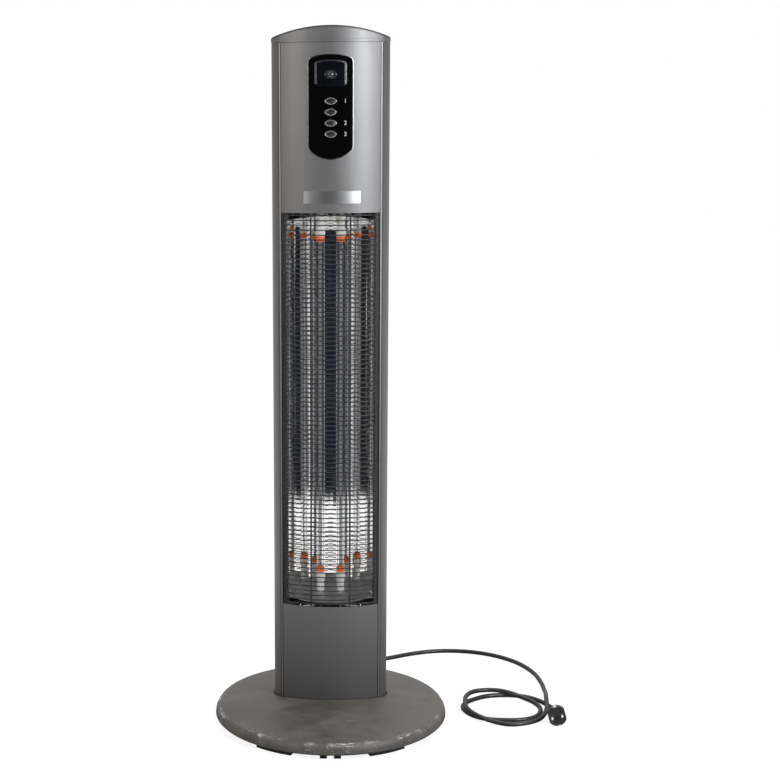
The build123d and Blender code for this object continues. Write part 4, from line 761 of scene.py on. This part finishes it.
for button in ("button_upper", "button_second", "button_third", "button_lower"):
    from_model(button, button_plastic, button, sharp=80)
painted(button_plastic, "tact_switches", "board_posts")
ink = Finish("print_white", (0.62, 0.62, 0.6), roughness=0.5)
ink.slot = None
ink.vary(base_color=ink.tone(0.8 + ink.noise(0.001) * 0.4))
number_x, number_height, ink_depth = 0.0265, 0.0105, 0.00004
face_stand, face_radius = 0.00203, 0.186
for number, row in enumerate((0, 2, 3), 1):
    level = button_levels[row]
    figure = bpy.data.curves.new("figure", "FONT")
    figure.body, figure.size, figure.align_x, figure.align_y = str(number), number_height, "CENTER", "CENTER"
    figure.extrude = ink_depth
    carrier = bpy.data.objects.new("figure", figure)
    bpy.context.scene.collection.objects.link(carrier)
    carrier.matrix_world = (Matrix.Translation((number_x, front_y(number_x, -face_stand), level))
                            @ Matrix.Rotation(asin(number_x / face_radius), 4, "Z")
                            @ Matrix.Rotation(pi / 2, 4, "X"))
    bpy.context.view_layer.update()
    printed = bpy.data.meshes.new_from_object(carrier.evaluated_get(bpy.context.evaluated_depsgraph_get()))
    printed.transform(carrier.matrix_world)
    bpy.data.objects.remove(carrier)
    finished(f"printed_number_{number}", printed, ink)

# Head: a cast collar that stands on the rails, in the same grey as the panels, and a
# thin dark lid that follows its arch.
from_model("top_collar", panel_paint, bevel=0.25)
lid_paint = Finish("lid_paint", (0.05, 0.05, 0.05), metallic=0.3)
lid_paint.slot = "black_paint"
lid_paint.vary(roughness=0.4 + lid_paint.noise(0.02) * 0.15)
lid_paint.bump(lid_paint.noise(0.001), 0.00002)
from_model("top_lid", lid_paint)

# Gland: a moulded black fitting in the rear panel, with a nut inside and a ribbed
# nose outside that keeps the mains lead from kinking.
moulded_black = Finish("moulded_black", (0.016, 0.016, 0.017), roughness=0.42)
moulded_black.bump(moulded_black.noise(0.0009), 0.00003)
gland_depth, gland_height, rib_count, rib_spacing, rib_taper = 0.044, 0.090, 5, 0.0055, 0.0004
gland_base = Matrix.Translation((0, gland_depth, gland_height)) @ Matrix.Rotation(-pi / 2, 4, "X")
nose = [(0, 0), (0.007, 0), (0.007, 0.0081), (0.0106, 0.0081), (0.011, 0.0085), (0.011, 0.0106),
        (0.0106, 0.0111), (0.0085, 0.0111)]
for rib in range(rib_count):
    start, radius = 0.0135 + rib * rib_spacing, 0.0084 - rib * rib_taper
    nose += [(radius, start), (radius - 0.0011, start + 0.0007), (radius - 0.0012, start + 0.0018),
             (radius - 0.0001, start + 0.0025)]
nose += [(0.0062, 0.0425), (0.0058, 0.0431), (0, 0.0431)]
turned("lead_gland", nose, [gland_base], moulded_black, stands_for=("cable_gland",))
painted(moulded_black, "gland_nut")

# Mains lead: 9 mm rubber cable, out of the gland, over the base's rim and along the
# floor into two loose turns beside the heater, where its plug lies on its side.
lead_thickness, floor_z = 0.009, 0.0047
lead_route = [(0, 0.0871, 0.09), (0, 0.117, 0.09), (0.001, 0.150, 0.085), (0.004, 0.186, 0.073),
              (0.010, 0.221, 0.054), (0.020, 0.252, 0.032), (0.034, 0.279, 0.013), (0.056, 0.302, floor_z),
              (0.088, 0.318, floor_z), (0.125, 0.333, floor_z), (0.171, 0.362, floor_z),
              (0.222, 0.382, floor_z), (0.271, 0.385, floor_z), (0.318, 0.375, floor_z),
              (0.362, 0.350, floor_z), (0.401, 0.307, floor_z), (0.426, 0.247, floor_z),
              (0.4335, 0.187, floor_z), (0.4335, 0.148, floor_z), (0.4325, 0.115, floor_z + 0.005),
              (0.4285, 0.082, floor_z + 0.0117), (0.426, 0.056, floor_z + 0.0117),
              (0.4235, 0.020, floor_z + 0.0075)]
coil_reach = (0.095, 0.0925, 0.0865, 0.0730, 0.0780, 0.0635, 0.0615, 0.0740,
              0.0785, 0.0685, 0.0768, 0.0795, 0.0655, 0.0660, 0.0790)
coil_lift = (0.002, 0, 0.0095, 0.0113, 0.0112, 0.0112, 0.004, 0, 0, 0, 0, 0, 0, 0, 0)
coil_x, coil_y, coil_scale, coil_start, coil_step = 0.339, 0.048, 1.012, 45, 22.5
coil = []
for half_step in range(2 * len(coil_reach) - 1):
    whole, between = divmod(half_step, 2)
    reach = coil_reach[whole] if not between else (coil_reach[whole] + coil_reach[whole + 1]) / 2
    lift = coil_lift[whole] if not between else (coil_lift[whole] + coil_lift[whole + 1]) / 2
    angle = -radians(coil_start + coil_step * half_step)
    coil.append((coil_x + reach * coil_scale * cos(angle), coil_y + reach * coil_scale * sin(angle),
                 floor_z + lift))
plug_slope, plug_turn = radians(10), radians(84)
plug_radius, plug_rim, plug_length = 0.019, 0.0136, 0.054
plug_way = Vector((cos(plug_turn) * cos(plug_slope), sin(plug_turn) * cos(plug_slope), -sin(plug_slope)))
plug_x, plug_y, plug_gap = 0.4336, -0.0412, 0.0002
plug_z = plug_gap + plug_radius * cos(plug_slope) + plug_rim * sin(plug_slope)
plug_face = Vector((plug_x, plug_y, plug_z))
tail_end, straight_tail = plug_face + plug_way * plug_length, 0.018
last_stretch = [(0.4125, 0.0895, floor_z), (0.426, 0.069, floor_z), (0.4335, 0.048, floor_z + 0.0008),
                tuple(tail_end + plug_way * straight_tail), tuple(tail_end)]
cable_rubber = Finish("black_rubber", (0.0085, 0.0078, 0.007), specular_ior_level=0.6)
cable_rubber.vary(base_color=cable_rubber.tone(0.6 + cable_rubber.noise(0.03, detail=5) * 1.1),
                  roughness=0.3 + cable_rubber.noise(0.02) * 0.16)
lead_curve = bpy.data.curves.new("mains_lead", "CURVE")
lead_curve.dimensions = "3D"
lead_curve.bevel_depth, lead_curve.bevel_resolution, lead_curve.resolution_u = lead_thickness / 2, 5, 10
lead_line = lead_curve.splines.new("NURBS")
lead_points = lead_route + coil + last_stretch
lead_line.points.add(len(lead_points) - 1)
for point, place in zip(lead_line.points, lead_points):
    point.co = (*place, 1)
lead_line.order_u = 3
lead_line.use_endpoint_u = True
lead_curve.materials.append(cable_rubber.material)
mains_lead = bpy.data.objects.new("mains_lead", lead_curve)
bpy.context.scene.collection.objects.link(mains_lead)
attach(mains_lead, "housing")
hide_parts("power_cord", "cord_coil")

# Plug: a round body moulded over the lead, two nickel pins in its face, and an earth
# strip on each side.
plug_roll = radians(16)
level_way = plug_way.cross(Vector((0, 0, 1))).normalized()
pin_way = (level_way * cos(plug_roll) - plug_way.cross(level_way) * sin(plug_roll)).normalized()
plug_axes = Matrix((pin_way, plug_way.cross(pin_way), plug_way)).transposed().to_4x4()
plug_place = Matrix.Translation(plug_face) @ plug_axes
plug_profile = [(0, 0.0008), (0.0138, 0.0008), (0.0144, 0.0002), (0.0150, 0), (0.0182, 0),
                (plug_radius, 0.0009), (plug_radius, plug_rim), (0.0184, 0.0200), (0.0165, 0.0265),
                (0.0130, 0.0310), (0.0095, 0.034)]
for rib in range(4):
    start, radius = 0.0355 + rib * 0.0045, 0.0090 - rib * 0.0006
    plug_profile += [(radius, start), (radius - 0.0012, start + 0.0007), (radius - 0.0013, start + 0.0015),
                     (radius - 0.0001, start + 0.0022)]
plug_profile += [(0.0065, 0.0538), (0, plug_length)]
plug = turned("mains_plug", plug_profile, [plug_place], moulded_black, stands_for=("plug_body",), around=72)
flat_x, flat_end = 0.0164, 0.0205
for corner in plug.data.vertices:
    spot = plug_place.inverted() @ corner.co
    if spot.z < flat_end and abs(spot.x) > flat_x:
        spot.x = flat_x if spot.x > 0 else -flat_x
        corner.co = plug_place @ spot
nickel = Finish("pin_nickel", (0.82, 0.8, 0.76), metallic=1.0)
nickel.vary(roughness=0.36 + nickel.noise(0.003) * 0.2)
pin_radius, pin_length, pin_apart = 0.0024, 0.019, 0.019
pin_profile = [(0, 0), (pin_radius, 0), (pin_radius, 0.0172), (0.0019, 0.0186), (0.0008, pin_length),
               (0, pin_length)]
pin_places = [plug_place @ Matrix.Translation((way * pin_apart / 2, 0, 0)) @ Matrix.Rotation(pi, 4, "X")
              for way in (-1, 1)]
pins = turned("plug_pin_pair", pin_profile, pin_places, nickel, stands_for=("plug_pins",), around=24)
earth_size, earth_out, earth_middle = (0.0062, 0.0022, 0.0136, 1), 0.0179, 0.0062
earth_shape = bmesh.new()
for way in (-1, 1):
    earth_place = plug_place @ Matrix.Translation((0, way * earth_out, earth_middle))
    bmesh.ops.create_cube(earth_shape, size=1, matrix=earth_place @ Matrix.Diagonal(earth_size))
strips = finished("earth_strips", closed_mesh("earth_strips", earth_shape), nickel, bevel=0.5)
